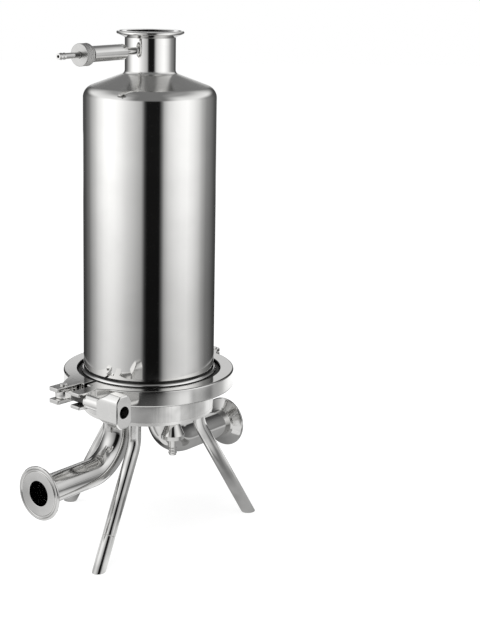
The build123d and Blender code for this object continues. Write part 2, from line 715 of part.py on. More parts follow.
# Nut: a tall block with bevelled wings that narrows to a round sleeve.
bolt_plane = turning_plane(pivot, bolt_out, AXIS_UP)
turned(
    "nut_sleeve",
    bolt_plane,
    (BOLT_R + FIT, sleeve_start),
    (SLEEVE_R, sleeve_start),
    (SLEEVE_R, nut_start),
    (BOLT_R + FIT, nut_start),
)
nut_half = NUT_HEIGHT / 2
root_half = NUT_ROOT_HEIGHT / 2
with BuildPart() as clamp_nut:
    with BuildSketch(Plane(origin=pivot + bolt_out * nut_start, x_dir=AXIS_UP, z_dir=bolt_out)):
        with BuildLine():
            upper = Polyline(
                (NUT_FLANK_HEIGHT / 2, -NUT_WIDTH / 2),
                (nut_half, -NUT_TOP_WIDTH / 2),
                (nut_half, NUT_TOP_WIDTH / 2),
                (NUT_FLANK_HEIGHT / 2, NUT_WIDTH / 2),
            )
            lower = mirror(upper, about=Plane.YZ)
            Line(upper @ 0, lower @ 0)
            Line(upper @ 1, lower @ 1)
        make_face()
    extrude(amount=NUT_LENGTH)
    with BuildSketch(bolt_plane):
        with BuildLine():
            Polyline(
                (-root_half, nut_start),
                (root_half, nut_start),
                (nut_half, nut_start + NUT_SHOULDER),
                (nut_half, nut_end),
                (-nut_half, nut_end),
                (-nut_half, nut_start + NUT_SHOULDER),
                close=True,
            )
        make_face()
    extrude(amount=NUT_WIDTH, both=True, mode=Mode.INTERSECT)
    chamfer(clamp_nut.faces().sort_by(Axis(pivot, bolt_out))[-1].edges(), NUT_CHAMFER)
    with BuildSketch(Plane(origin=pivot + bolt_out * nut_start, z_dir=bolt_out)):
        Circle(BOLT_R + FIT)
    extrude(amount=NUT_LENGTH, mode=Mode.SUBTRACT)
    with BuildSketch(Plane(origin=pivot + bolt_out * nut_end, z_dir=bolt_out)):
        Circle(NUT_MOUTH_R)
    extrude(amount=-NUT_MOUTH_DEPTH, mode=Mode.SUBTRACT)
finish(clamp_nut, "clamp_nut")

# Vent valve: a stub through the neck, a round body, and a stem that its knob moves.
vent_plane = turning_plane(AXIS_UP * VENT_Z, vent_out, AXIS_UP)
vent_body_start = NECK_R + VENT_STUB_LENGTH
vent_seat = vent_body_start + VENT_STUB_SEAT + WAIST_LENGTH
vent_body_end = vent_body_start + VENT_BODY_LENGTH
vent_nose_end = vent_body_end + VENT_NOSE_LENGTH
turned(
    "vent_stub",
    vent_plane,
    (VENT_STUB_BORE_R, NECK_BORE_R),
    (VENT_STUB_R, NECK_BORE_R),
    (VENT_STUB_R, vent_body_start + VENT_STUB_SEAT),
    (VENT_STUB_BORE_R, vent_body_start + VENT_STUB_SEAT),
)
turned(
    "vent_body",
    vent_plane,
    (VENT_STUB_R + FIT, vent_body_start),
    (VENT_BODY_R - VENT_BODY_CHAMFER, vent_body_start),
    (VENT_BODY_R, vent_body_start + VENT_BODY_CHAMFER),
    (VENT_BODY_R, vent_body_end),
    (VENT_NOSE_R, vent_body_end),
    (VENT_NOSE_R, vent_nose_end),
    (VENT_BORE_R, vent_nose_end),
    (VENT_BORE_R, vent_seat + SEAT_LENGTH),
    (VENT_STUB_BORE_R, vent_seat),
    (VENT_STUB_BORE_R, vent_body_start + VENT_STUB_SEAT),
    (VENT_STUB_R + FIT, vent_body_start + VENT_STUB_SEAT),
)
vent_collar = vent_nose_end + VALVE_GAP
vent_knob_start = vent_body_end + VALVE_GAP
vent_knob_end = vent_knob_start + VENT_KNOB_LENGTH
vent_end = stem_end(VENT_BORE_R, VENT_STEM_R, VENT_STUB_BORE_R, vent_seat + SEAT_GAP)
vent_collar_r = VENT_NOSE_R - STEM_PLAY
stem(
    "vent_stem",
    vent_plane,
    (
        *vent_end,
        (VENT_STEM_R, vent_collar),
        (vent_collar_r, vent_collar),
        (vent_collar_r, vent_collar + COLLAR_THICKNESS),
        *barb(VENT_STEM_R, vent_collar + COLLAR_THICKNESS, vent_knob_end + VENT_BARB_LENGTH),
    ),
    VENT_STEM_BORE_R,
    (vent_end[2][1] + vent_end[3][1]) / 2,
)
sealing_ring("vent_ring", vent_plane, VENT_BORE_R, vent_end)
turned(
    "vent_knob",
    vent_plane,
    (VENT_NOSE_R + FIT, vent_knob_start),
    (VENT_KNOB_R, vent_knob_start),
    (VENT_KNOB_R, vent_knob_end),
    (VENT_STEM_R + STEM_PLAY, vent_knob_end),
    (VENT_STEM_R + STEM_PLAY, vent_collar + COLLAR_THICKNESS + STEM_PLAY),
    (VENT_NOSE_R + FIT, vent_collar + COLLAR_THICKNESS + STEM_PLAY),
)

# Drain valve: a body from the plate through the drum, a conical knob and a hose barb.
drain_top = drain_centre + AXIS_UP * PLATE_UNDER_Z
drain_plane = turning_plane(drain_top, -AXIS_UP, side)
drain_body_end = PLATE_UNDER_Z - DRUM_BOTTOM_Z
drain_nose_end = drain_body_end + DRAIN_NOSE_LENGTH
turned(
    "drain_body",
    drain_plane,
    (DRAIN_HOLE_R, 0),
    (DRAIN_BODY_R, 0),
    (DRAIN_BODY_R, drain_body_end),
    (DRAIN_NOSE_R, drain_body_end),
    (DRAIN_NOSE_R, drain_nose_end),
    (DRAIN_BORE_R, drain_nose_end),
    (DRAIN_BORE_R, DRAIN_SEAT_DEPTH + SEAT_LENGTH),
    (DRAIN_HOLE_R, DRAIN_SEAT_DEPTH),
)
drain_collar = drain_nose_end + VALVE_GAP
drain_knob_start = drain_body_end + VALVE_GAP
drain_rim_start = drain_knob_start + DRAIN_CONE_LENGTH
drain_knob_end = drain_rim_start + DRAIN_RIM_LENGTH
drain_end = stem_end(DRAIN_BORE_R, DRAIN_STEM_R, DRAIN_HOLE_R, DRAIN_SEAT_DEPTH + SEAT_GAP)
drain_collar_r = DRAIN_NOSE_R - STEM_PLAY
stem(
    "drain_stem",
    drain_plane,
    (
        *drain_end,
        (DRAIN_STEM_R, drain_collar),
        (drain_collar_r, drain_collar),
        (drain_collar_r, drain_collar + COLLAR_THICKNESS),
        (DRAIN_STEM_R, drain_collar + COLLAR_THICKNESS),
        (DRAIN_STEM_R, drain_knob_end + VALVE_GAP),
    ),
    DRAIN_STEM_BORE_R,
    (drain_end[2][1] + drain_end[3][1]) / 2,
)
sealing_ring("drain_ring", drain_plane, DRAIN_BORE_R, drain_end)
turned(
    "drain_knob",
    drain_plane,
    (DRAIN_NOSE_R + FIT, drain_knob_start),
    (DRAIN_KNOB_TOP_R, drain_knob_start),
    (DRAIN_KNOB_RIM_R, drain_rim_start),
    (DRAIN_KNOB_RIM_R, drain_knob_end),
    (DRAIN_STEM_R + STEM_PLAY, drain_knob_end),
    (DRAIN_STEM_R + STEM_PLAY, drain_collar + COLLAR_THICKNESS + STEM_PLAY),
    (DRAIN_NOSE_R + FIT, drain_collar + COLLAR_THICKNESS + STEM_PLAY),
)
barb_start = drain_knob_end + VALVE_GAP
turned(
    "drain_barb",
    drain_plane,
    (DRAIN_STEM_BORE_R, barb_start),
    *barb(DRAIN_BARB_R, barb_start, DRAIN_BARB_LENGTH + barb_start),
    (DRAIN_STEM_BORE_R, barb_start + DRAIN_BARB_LENGTH),
)
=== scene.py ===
"""Stainless steel filter housing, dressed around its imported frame.

Every turned, bent or threaded piece is a surface worked out with numpy: an eased outline of
(radius, distance) points carried around a straight or bent axis. The finishes are procedural
steels that share node groups for haze, turning marks and cast grain. Sizes are in millimetres
and meshes in metres, unless a line says otherwise.
"""

import json
import logging
from dataclasses import dataclass, replace
from enum import Enum
from typing import Any, Callable

import bpy
import numpy as np
from mathutils import Matrix, Vector

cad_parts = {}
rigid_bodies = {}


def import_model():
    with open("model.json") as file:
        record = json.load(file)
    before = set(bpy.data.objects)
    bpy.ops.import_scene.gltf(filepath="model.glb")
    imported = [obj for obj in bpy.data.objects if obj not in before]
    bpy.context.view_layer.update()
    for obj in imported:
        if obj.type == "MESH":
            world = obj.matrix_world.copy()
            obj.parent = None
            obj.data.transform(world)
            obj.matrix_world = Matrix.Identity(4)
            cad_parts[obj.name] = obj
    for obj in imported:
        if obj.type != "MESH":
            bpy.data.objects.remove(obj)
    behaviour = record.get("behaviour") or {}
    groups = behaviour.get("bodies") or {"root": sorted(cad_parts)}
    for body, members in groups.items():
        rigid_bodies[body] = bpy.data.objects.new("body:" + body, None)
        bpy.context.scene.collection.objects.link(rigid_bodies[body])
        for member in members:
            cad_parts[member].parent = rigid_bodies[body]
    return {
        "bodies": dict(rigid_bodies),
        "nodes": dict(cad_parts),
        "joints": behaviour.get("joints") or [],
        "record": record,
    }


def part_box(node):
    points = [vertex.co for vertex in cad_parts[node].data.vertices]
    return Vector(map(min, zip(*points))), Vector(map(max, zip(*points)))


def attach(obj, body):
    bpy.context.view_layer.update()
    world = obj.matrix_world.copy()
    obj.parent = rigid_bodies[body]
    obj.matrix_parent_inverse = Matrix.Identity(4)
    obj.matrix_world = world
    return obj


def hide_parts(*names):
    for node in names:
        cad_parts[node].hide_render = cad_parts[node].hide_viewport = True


LOG = logging.getLogger("filter_housing")
MM = 0.001
UP = np.array([0.0, 0.0, 1.0])
RIGHT = np.array([1.0, 0.0, 0.0])

# Sizes that several pieces share: the tubes' wall, the clamp flanges' rim and the slope of
# their cones, and the play between a piece and what it turns or slides on.
WALL = 1.6
RIM = 2.87
CONE = np.tan(np.radians(20))
PLAY = 0.05

Corners = list[tuple[float, ...]]
Span = tuple[float, float]
Fade = tuple[float, float, float, float]
Ring = tuple[tuple[float, float], ...]
# A shape takes the radius, the distance along the axis and the angle, in metres and radians,
# and gives back the radius there.
Shape = Callable[[np.ndarray, np.ndarray, np.ndarray], np.ndarray]


def unit(vector: np.ndarray) -> np.ndarray:
    """Return the vectors scaled to length one along their last axis."""
    return vector / np.maximum(np.linalg.norm(vector, axis=-1, keepdims=True), 1e-12)


def ramp(value: np.ndarray, low: float, high: float) -> np.ndarray:
    """Return 0 below low and 1 above high, with the smooth cubic 3t^2 - 2t^3 between them."""
    t = np.clip((value - low) / (high - low), 0.0, 1.0)
    return t * t * (3.0 - 2.0 * t)


@dataclass(frozen=True)
class Outline:
    """Section of a turned piece.

    points holds (radius, distance along the axis) in metres, and normals the outward
    direction at each point. A closed outline is a ring-shaped section; an open one starts
    and ends on the axis.
    """

    points: np.ndarray
    normals: np.ndarray
    closed: bool


def eased(corners: Corners, ease: float, closed: bool = True, steps: int = 4) -> Outline:
    """Round every corner of an outline with a small arc.

    Each corner is replaced by an arc tangent to both of its sides. Its centre lies on the
    bisector at r / sin(half the angle), and the arc's points are found by turning one
    radius towards the other.

    Args:
        corners: (radius, distance) points in order round the section. A third number is the
            corner's own ease.
        ease: Radius of the other arcs, made smaller on a short side.
        closed: Whether the last corner joins the first.
        steps: Points on each arc.

    Returns:
        The outline in metres with its exact normals.
    """
    side_share = 0.45
    point = np.array([corner[:2] for corner in corners], float) * MM
    eases = np.array([corner[2] if len(corner) > 2 else ease for corner in corners]) * MM
    area = np.sum(point[:, 0] * np.roll(point[:, 1], -1) - np.roll(point[:, 0], -1) * point[:, 1])
    if area < 0:
        point, eases = point[::-1], eases[::-1]
    middle = point if closed else point[1:-1]
    eases = eases if closed else eases[1:-1]
    before = np.roll(point, 1, 0) if closed else point[:-2]
    after = np.roll(point, -1, 0) if closed else point[2:]
    back, ahead = unit(before - middle), unit(after - middle)
    half = np.arccos(np.clip(np.sum(back * ahead, 1), -1.0, 1.0)) / 2
    room = side_share * np.minimum(np.linalg.norm(before - middle, axis=1),
                                   np.linalg.norm(after - middle, axis=1))
    tangent = np.minimum(eases / np.tan(half), room)
    radius = tangent * np.tan(half)
    centre = middle + unit(back + ahead) * (radius / np.sin(half))[:, None]
    start = unit(middle + back * tangent[:, None] - centre)
    stop = unit(middle + ahead * tangent[:, None] - centre)
    sweep = (np.pi - 2 * half)[:, None, None]
    turn = np.linspace(0.0, 1.0, steps)[None, :, None]
    spoke = unit(np.sin((1 - turn) * sweep) * start[:, None] + np.sin(turn * sweep) * stop[:, None])
    outer = np.sign(ahead[:, 0] * back[:, 1] - ahead[:, 1] * back[:, 0])[:, None, None]
    arc = (centre[:, None] + spoke * radius[:, None, None]).reshape(-1, 2)
    normal = (spoke * outer).reshape(-1, 2)
    if closed:
        return Outline(arc, normal, True)
    return Outline(np.vstack([point[:1], arc, point[-1:]]),
                   np.vstack([normal[:1], normal, normal[-1:]]), False)


def refined(outline: Outline, spacing: float) -> Outline:
    """Add points on the straight runs of an outline.

    Args:
        outline: The outline to refine.
        spacing: Longest run that stays.

    Returns:
        The outline with its old points and the new ones, which keep clear of the old.
    """
    clear = 0.3 * spacing * MM
    point, normal = outline.points, outline.normals
    if outline.closed:
        point, normal = np.vstack([point, point[:1]]), np.vstack([normal, normal[:1]])
    length = np.append(0.0, np.cumsum(np.linalg.norm(np.diff(point, axis=0), axis=1)))
    even = np.linspace(0.0, length[-1], int(length[-1] / (spacing * MM)) + 2)
    gap = np.abs(even[:, None] - length[None]).min(1)
    at = np.unique(np.append(length, even[gap > clear]))
    at = at[:-1] if outline.closed else at
    new = [np.stack([np.interp(at, length, part[:, 0]), np.interp(at, length, part[:, 1])], 1)
           for part in (point, normal)]
    return Outline(new[0], unit(new[1]), outline.closed)


def tube(inner: float, outer: float, low: float, high: float) -> Corners:
    """Return the corners of a plain tube's section."""
    return [(inner, low), (outer, low), (outer, high), (inner, high)]


@dataclass(frozen=True)
class StraightAxis:
    """Straight axis of a turned piece: an origin, a direction, and a side for angle zero."""

    origin: np.ndarray
    direction: np.ndarray
    side: np.ndarray

    def frames(self, along: np.ndarray) -> tuple[np.ndarray, ...]:
        """Return the centre, side, cross and forward vectors at distances along the axis."""
        ways = (self.side, np.cross(self.direction, self.side), self.direction)
        return (self.origin + along[:, None] * self.direction,
                *(np.broadcast_to(way, (len(along), 3)) for way in ways))


@dataclass(frozen=True)
class BentAxis:
    """Axis of a bent tube or rod: two straight runs joined by an arc of bend_r metres."""

    start: np.ndarray
    corner: np.ndarray
    end: np.ndarray
    bend_r: float

    def runs(self) -> tuple[np.ndarray, np.ndarray, float]:
        """Return the directions of both runs and the angle between them."""
        first, second = unit(self.corner - self.start), unit(self.end - self.corner)
        return first, second, float(np.arccos(np.dot(first, second)))

    def frames(self, along: np.ndarray) -> tuple[np.ndarray, ...]:
        """Find the frame of the axis at each distance.

        The forward vector turns in the plane of the two runs by the distance covered on the
        arc divided by its radius, and the centre is the arc's centre plus the turned spoke.

        Args:
            along: Distances along the axis in metres.

        Returns:
            The centre, side, cross and forward vectors.
        """
        first, second, bend = self.runs()
        cross = unit(np.cross(first, second))
        run = float(np.linalg.norm(self.corner - self.start)) - self.bend_r * np.tan(bend / 2)
        angle = np.clip((along - run) / self.bend_r, 0.0, bend)[:, None]
        inward = np.cross(cross, first)
        forward = np.cos(angle) * first + np.sin(angle) * inward
        spoke = np.cos(angle) * inward - np.sin(angle) * first
        middle = self.start + run * first + self.bend_r * inward
        straight = np.minimum(along - run, 0.0) + np.maximum(along - run - self.bend_r * bend, 0.0)
        centre = middle - self.bend_r * spoke + straight[:, None] * forward
        return centre, spoke, np.broadcast_to(cross, centre.shape), forward

    def length(self) -> float:
        """Return the length of the axis in metres."""
        bend = self.runs()[2]
        saved = 2 * self.bend_r * np.tan(bend / 2) - self.bend_r * bend
        return float(np.linalg.norm(self.corner - self.start)
                     + np.linalg.norm(self.end - self.corner) - saved)


UPRIGHT = StraightAxis(np.zeros(3), UP, RIGHT)


def settled(thing: Any, **settings: Any) -> Any:
    """Set the properties of a node, a modifier, a lamp or a camera, and return it."""
    for label, value in settings.items():
        setattr(thing, label, value)
    return thing


def linked(name: str, data: Any) -> Any:
    """Return a new object for a mesh, a lamp or a camera, linked to the scene."""
    made = bpy.data.objects.new(name, data)
    bpy.context.scene.collection.objects.link(made)
    return made


def strips(low: np.ndarray, high: np.ndarray) -> np.ndarray:
    """Return the four-sided faces between two sets of rows that close on themselves."""
    return np.stack([low, np.roll(low, -1, 1), np.roll(high, -1, 1), high], -1).reshape(-1, 4)


def grid_object(name: str, grid: np.ndarray, normals: np.ndarray | None, wrap: bool) -> Any:
    """Make a mesh object from a grid of points that closes on itself along its columns.

    Neighbouring rows and columns are joined by four-sided faces. Rows close too when wrap is
    true; otherwise the first and last rows are single points, each joined by a fan. The faces
    are turned outward by the sign of the volume that they enclose.

    Args:
        name: Name of the object.
        grid: Points as (row, column, xyz), in metres.
        normals: Exact normals of the same shape, or None to shade by angle.
        wrap: Whether the last row joins the first.

    Returns:
        The new object, linked to the scene.
    """
    sharp = np.radians(32)
    body = grid if wrap else grid[1:-1]
    points = body.reshape(-1, 3)
    index = np.arange(len(points)).reshape(body.shape[:2])
    quads = strips(index, np.roll(index, -1, 0)) if wrap else strips(index[:-1], index[1:])
    fans = np.empty((0, 3), int)
    if not wrap:
        first, last, pole = index[0], index[-1], len(points)
        fans = np.vstack([np.stack([np.full_like(first, pole), np.roll(first, -1), first], -1),
                          np.stack([np.full_like(last, pole + 1), last, np.roll(last, -1)], -1)])
        points = np.vstack([points, grid[0].mean(0), grid[-1].mean(0)])
    corner = [points[part] for part in np.vstack([quads[:, :3], quads[:, [0, 2, 3]], fans]).T]
    if np.sum(np.cross(corner[0], corner[1]) * corner[2]) < 0:
        quads, fans = quads[:, ::-1], fans[:, ::-1]
    mesh = bpy.data.meshes.new(name)
    mesh.from_pydata(points.tolist(), [], quads.tolist() + fans.tolist())
    mesh.shade_smooth()
    if normals is None:
        mesh.set_sharp_from_angle(angle=sharp)
        return linked(name, mesh)
    exact = (normals if wrap else normals[1:-1]).reshape(-1, 3)
    if not wrap:
        exact = np.vstack([exact, unit(normals[0].mean(0)), unit(normals[-1].mean(0))])
    mesh.normals_split_custom_set_from_vertices(exact.tolist())
    return linked(name, mesh)


def carried(name: str, outline: Outline, axis: StraightAxis | BentAxis, around: int,
            shape: Shape | None = None) -> Any:
    """Carry an outline round and along an axis.

    A point is centre(a) + r (cos t side + sin t cross), where t is the angle, and its normal
    is the outline's normal in the same frame.

    Args:
        name: Name of the object.
        outline: Section to carry.
        axis: Straight or bent axis that distances are measured along.
        around: Number of angles.
        shape: Gives the radius from (radius, distance, angle) where it isn't round.

    Returns:
        The new object.
    """
    angle = np.linspace(0.0, 2 * np.pi, around, endpoint=False)[None, :, None]
    centre, side, cross, forward = (part[:, None] for part in axis.frames(outline.points[:, 1]))
    spoke = np.cos(angle) * side + np.sin(angle) * cross
    radius = np.repeat(outline.points[:, :1], around, 1)
    if shape is not None:
        radius = shape(radius, np.repeat(outline.points[:, 1:], around, 1), angle[..., 0])
    grid = centre + radius[..., None] * spoke
    normals = None
    if shape is None:
        normals = unit(outline.normals[:, None, :1] * spoke + outline.normals[:, None, 1:] * forward)
    return grid_object(name, grid, normals, outline.closed)


class Nodes:
    """Small helper that adds nodes to a tree and joins them."""

    def __init__(self, tree: Any) -> None:
        """Keep the tree that nodes are added to."""
        self.tree = tree

    @classmethod
    def fresh(cls, holder: Any) -> "Nodes":
        """Return a helper for the emptied nodes of a material or a world."""
        holder.use_nodes = True
        holder.node_tree.nodes.clear()
        return cls(holder.node_tree)

    def add(self, kind: str, inputs: dict[Any, Any] | None = None, **settings: Any) -> Any:
        """Add a node, set its properties, and set or link its inputs.

        Args:
            kind: Blender's type name of the node.
            inputs: Input name or number to a value or to another node's output socket.
            settings: Properties of the node.

        Returns:
            The node's outputs.
        """
        node = settled(self.tree.nodes.new(kind), **settings)
        for label, value in (inputs or {}).items():
            if isinstance(value, bpy.types.NodeSocket):
                self.tree.links.new(value, node.inputs[label])
            else:
                node.inputs[label].default_value = value
        return node.outputs

    def math(self, operation: str, *values: Any) -> Any:
        """Add a Math node and return its output."""
        return self.add("ShaderNodeMath", dict(enumerate(values)), operation=operation)[0]

    def noise(self, vector: Any, scale: Any, detail: float = 2.0, rough: float = 0.5) -> Any:
        """Add a noise texture and return its value, which is about 0.5 on average."""
        return self.add("ShaderNodeTexNoise", {"Vector": vector, "Scale": scale,
                                               "Detail": detail, "Roughness": rough})[0]

    def stretched(self, vector: Any, times: float) -> Any:
        """Return the vector with what it carries stretched along Z."""
        return self.add("ShaderNodeMapping", {"Vector": vector, "Scale": (1.0, 1.0, 1 / times)})[0]

    def spread(self, value: Any, low: float, high: float, to_low: Any = 0.0,
               to_high: Any = 1.0) -> Any:
        """Map a value smoothly from one range to another."""
        return self.add("ShaderNodeMapRange", {
            "Value": value, "From Min": low, "From Max": high, "To Min": to_low,
            "To Max": to_high}, interpolation_type="SMOOTHSTEP")[0]

    def mix(self, share: Any, first: Any, second: Any) -> Any:
        """Mix two values; sockets 2 and 3 are the Mix node's values."""
        return self.add("ShaderNodeMix", {0: share, 2: first, 3: second})[0]

    def shade(self, share: Any, first: Any, second: Any) -> Any:
        """Mix two colours; sockets 6 and 7 and output 2 are the Mix node's colours."""
        return self.add("ShaderNodeMix", {0: share, 6: first, 7: second}, data_type="RGBA")[2]

    def where(self) -> Any:
        """Return the place on the piece."""
        return self.add("ShaderNodeTexCoord")["Object"]


class Haze(Enum):
    """Node groups that more than one finish uses."""

    POLISH = "polish_haze"
    TURNING = "turning_marks"
    CAST = "cast_grain"
    DRAWN = "drawn_lines"


def start_group(kind: Haze, broad: str, fine: str) -> tuple[Nodes, Any, Any]:
    """Start a shader node group with a vector, a scale and two values to put out.

    Args:
        kind: The group.
        broad: Name of the slow unevenness, which is put out first.
        fine: Name of the fine marks.

    Returns:
        Its nodes, its vector and its scale.
    """
    group = bpy.data.node_groups.new(kind.value, "ShaderNodeTree")
    group.interface.new_socket("Vector", in_out="INPUT", socket_type="NodeSocketVector")
    group.interface.new_socket("Scale", in_out="INPUT", socket_type="NodeSocketFloat")
    for label in (broad, fine):
        group.interface.new_socket(label, in_out="OUTPUT", socket_type="NodeSocketFloat")
    make = Nodes(group)
    into = make.add("NodeGroupInput")
    return make, into["Vector"], into["Scale"]


def polish_haze_group() -> None:
    """Faint cloudiness and hair scratches of a polished surface.

    Haze is a soft noise about 30 mm across; Scratches is a fine noise stretched by 40 along
    the piece, thinned so that only its peaks stay.
    """
    make, vector, scale = start_group(Haze.POLISH, "Haze", "Scratches")
    cloud = make.noise(vector, scale, 3.0)
    line = make.noise(make.stretched(vector, 40), 900.0, 1.0)
    make.add("NodeGroupOutput", {"Haze": make.spread(cloud, 0.35, 0.65),
                                 "Scratches": make.spread(line, 0.55, 0.8)})


def turning_marks_group() -> None:
    """Concentric marks of a lathe: noise of the radius and the distance along the axis.

    The vector has its Z along the axis. Marks varies only with sqrt(x^2 + y^2) and z, so each
    line runs right round the piece; Patches is a slow noise that dulls it unevenly.
    """
    make, vector, scale = start_group(Haze.TURNING, "Patches", "Marks")
    split = make.add("ShaderNodeSeparateXYZ", {"Vector": vector})
    flat = make.add("ShaderNodeCombineXYZ", {"X": split["X"], "Y": split["Y"]})[0]
    away = make.add("ShaderNodeVectorMath", {0: flat}, operation="LENGTH")["Value"]
    pair = make.add("ShaderNodeCombineXYZ", {"X": away, "Y": split["Z"]})[0]
    slow = make.noise(vector, 60.0)
    make.add("NodeGroupOutput", {"Patches": make.spread(slow, 0.3, 0.7),
                                 "Marks": make.noise(pair, scale, 2.0, 0.6)})


def cast_grain_group() -> None:
    """Tumbled surface of an investment casting: fine pits over a slow unevenness."""
    make, vector, scale = start_group(Haze.CAST, "Waves", "Grain")
    make.add("NodeGroupOutput", {"Waves": make.noise(vector, 160.0),
                                 "Grain": make.noise(vector, scale, 3.0, 0.65)})


def drawn_lines_group() -> None:
    """Long fine lines of a drawn or brushed rod: noise stretched along local Z by 60."""
    make, vector, scale = start_group(Haze.DRAWN, "Patches", "Lines")
    slow = make.noise(vector, 45.0)
    make.add("NodeGroupOutput", {
        "Patches": make.spread(slow, 0.3, 0.7),
        "Lines": make.noise(make.stretched(vector, 60), scale, 2.0, 0.6)})


@dataclass(frozen=True)
class Steel:
    """Finish of a stainless steel surface.

    Attributes:
        name: Name of the finish.
        slot: The record's material slot of the finish; not used.
        kind: Node group that gives the finish its marks.
        scale: Scale of the group's fine pattern.
        colour: Base colour, darkest and lightest.
        roughness: Roughness, lowest and highest.
        relief: Height of the marks in millimetres.
        dulled: Heights in metres between which the finish grows duller, and by how much.
    """

    name: str
    slot: str
    kind: Haze
    scale: float
    colour: Span
    roughness: Span
    relief: float
    dulled: tuple[float, float, float] | None = None

    def tint(self, value: float) -> tuple[float, float, float, float]:
        """Return a grey with the slight warmth of stainless steel."""
        return value, value * 0.995, value * 0.98, 1.0

    def material(self, label: str, axis: StraightAxis) -> Any:
        """Make the material for a piece.

        Args:
            label: Name of the piece.
            axis: Axis that its marks are centred on.

        Returns:
            The material.
        """
        made = bpy.data.materials.new(f"{self.name}_{label}")
        make = Nodes.fresh(made)
        turn = Vector(axis.direction).to_track_quat("Z", "Y").to_matrix().inverted().to_euler()
        where = make.where()
        moved = make.add("ShaderNodeVectorMath", {0: where, 1: tuple(axis.origin)},
                         operation="SUBTRACT")[0]
        turned = make.add("ShaderNodeMapping", {"Vector": moved, "Rotation": tuple(turn)})[0]
        broad, fine = make.add("ShaderNodeGroup", {"Vector": turned, "Scale": self.scale},
                               node_tree=bpy.data.node_groups[self.kind.value])
        rough = make.spread(broad, 0.0, 1.0, *self.roughness)
        if self.dulled:
            low, high, extra = self.dulled
            height = make.add("ShaderNodeSeparateXYZ", {"Vector": where})["Z"]
            rough = make.math("ADD", rough, make.spread(height, low, high, 0.0, extra))
        dark, light = (self.tint(value) for value in self.colour)
        bump = make.add("ShaderNodeBump", {"Height": fine, "Strength": 1.0,
                                           "Distance": self.relief * MM})[0]
        shader = make.add("ShaderNodeBsdfPrincipled", {
            "Base Color": make.shade(broad, dark, light), "Metallic": 1.0, "Roughness": rough,
            "Normal": bump})[0]
        make.add("ShaderNodeOutputMaterial", {"Surface": shader})
        return made


MIRROR = Steel("mirror_steel", "polished_steel", Haze.POLISH, 30.0, (0.79, 0.82), (0.045, 0.075),
               0.0004)
DOMED = replace(MIRROR, name="domed_steel", dulled=(0.436, 0.443, 0.13))
BRIGHT = Steel("bright_steel", "satin_steel", Haze.POLISH, 45.0, (0.62, 0.68), (0.06, 0.10), 0.0008)
TURNED = Steel("turned_steel", "satin_steel", Haze.TURNING, 1500.0, (0.84, 0.90), (0.15, 0.21),
               0.003)
MILLED = replace(TURNED, name="milled_steel", colour=(0.78, 0.85), roughness=(0.08, 0.13),
                 relief=0.001)
FACED = replace(TURNED, name="faced_steel", colour=(0.46, 0.58), roughness=(0.26, 0.36),
                relief=0.01)
# Dark steel that paints the shade in hollows and narrow gaps: the bolt's thread, the nut's mouth and
# the vent body's nose.
PAINTED_HOLLOW_SHADE = Steel("painted_hollow_shade_steel", "satin_steel", Haze.TURNING, 900.0, (0.16, 0.24), (0.30, 0.40), 0.004)
# Darker still, painted shade: a band over the bell's foot, the flange's cone under its crown and the
# inside of the clamp halves.
PAINTED_GAP_SHADE = replace(PAINTED_HOLLOW_SHADE, name="painted_gap_shade_steel", colour=(0.05, 0.09))
ROLLED = Steel("rolled_steel", "satin_steel", Haze.DRAWN, 320.0, (0.60, 0.86), (0.06, 0.12), 0.15)
BUFFED = Steel("buffed_steel", "cast_steel", Haze.CAST, 500.0, (0.70, 0.76), (0.08, 0.12), 0.003)
CAST = Steel("cast_steel", "cast_steel", Haze.CAST, 1400.0, (0.84, 0.90), (0.14, 0.22), 0.005)
DRAWN = Steel("drawn_steel", "rod_steel", Haze.DRAWN, 700.0, (0.56, 0.78), (0.07, 0.14), 0.04)


@dataclass(frozen=True)
class Elastomer:
    """Matte black rubber of the gasket and the sealing rings."""

    name: str = "seal_elastomer"
    scale: float = 900.0
    dark: tuple[float, ...] = (0.02, 0.02, 0.021, 1.0)
    light: tuple[float, ...] = (0.05, 0.05, 0.052, 1.0)
    roughness: Span = (0.55, 0.75)
    relief: float = 0.02

    def dress(self, frame: "Frame", *nodes: str) -> None:
        """Make the material and give it to CAD nodes.

        Args:
            frame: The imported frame.
            nodes: The gasket and the rings.
        """
        made = bpy.data.materials.new(self.name)
        make = Nodes.fresh(made)
        grain = make.noise(make.where(), self.scale, 3.0)
        bump = make.add("ShaderNodeBump", {"Height": grain, "Distance": self.relief * MM})[0]
        shader = make.add("ShaderNodeBsdfPrincipled", {
            "Base Color": make.shade(grain, self.dark, self.light),
            "Roughness": make.spread(grain, 0.3, 0.7, *self.roughness), "Normal": bump})[0]
        make.add("ShaderNodeOutputMaterial", {"Surface": shader})
        for node in nodes:
            frame.data["nodes"][node].material_slots[0].material = made


@dataclass
class Frame:
    """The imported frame, with the places that the pieces are worked out from."""

    data: dict[str, Any]

    def mount(self, name: str) -> tuple[np.ndarray, np.ndarray]:
        """Return a mount's place in metres and its axis."""
        found = next(m for m in self.data["record"]["mounts"] if m["name"] == name)
        return np.array(found["pos_m"], float), unit(np.array(found["axis"], float))

    def joint(self, name: str) -> tuple[np.ndarray, np.ndarray]:
        """Return a joint's place in metres, or the origin for a slide, and its axis."""
        found = next(j for j in self.data["joints"] if j["name"] == name)
        return np.array(found.get("pos_m", (0, 0, 0)), float), unit(np.array(found["axis"], float))

    def span(self, node: str, direction: np.ndarray = UP, base: float = 0.0) -> list[float]:
        """Find how far a node reaches backward and forward along a direction.

        Args:
            node: Name of the CAD node.
            direction: Direction of length one.
            base: Distance in metres that is taken as zero.

        Returns:
            The lowest and the highest distance in millimetres.
        """
        mesh = self.data["nodes"][node].data
        points = np.zeros(len(mesh.vertices) * 3, np.float32)
        mesh.vertices.foreach_get("co", points)
        along = points.reshape(-1, 3) @ direction
        return [(float(value) - base) / MM for value in (along.min(), along.max())]


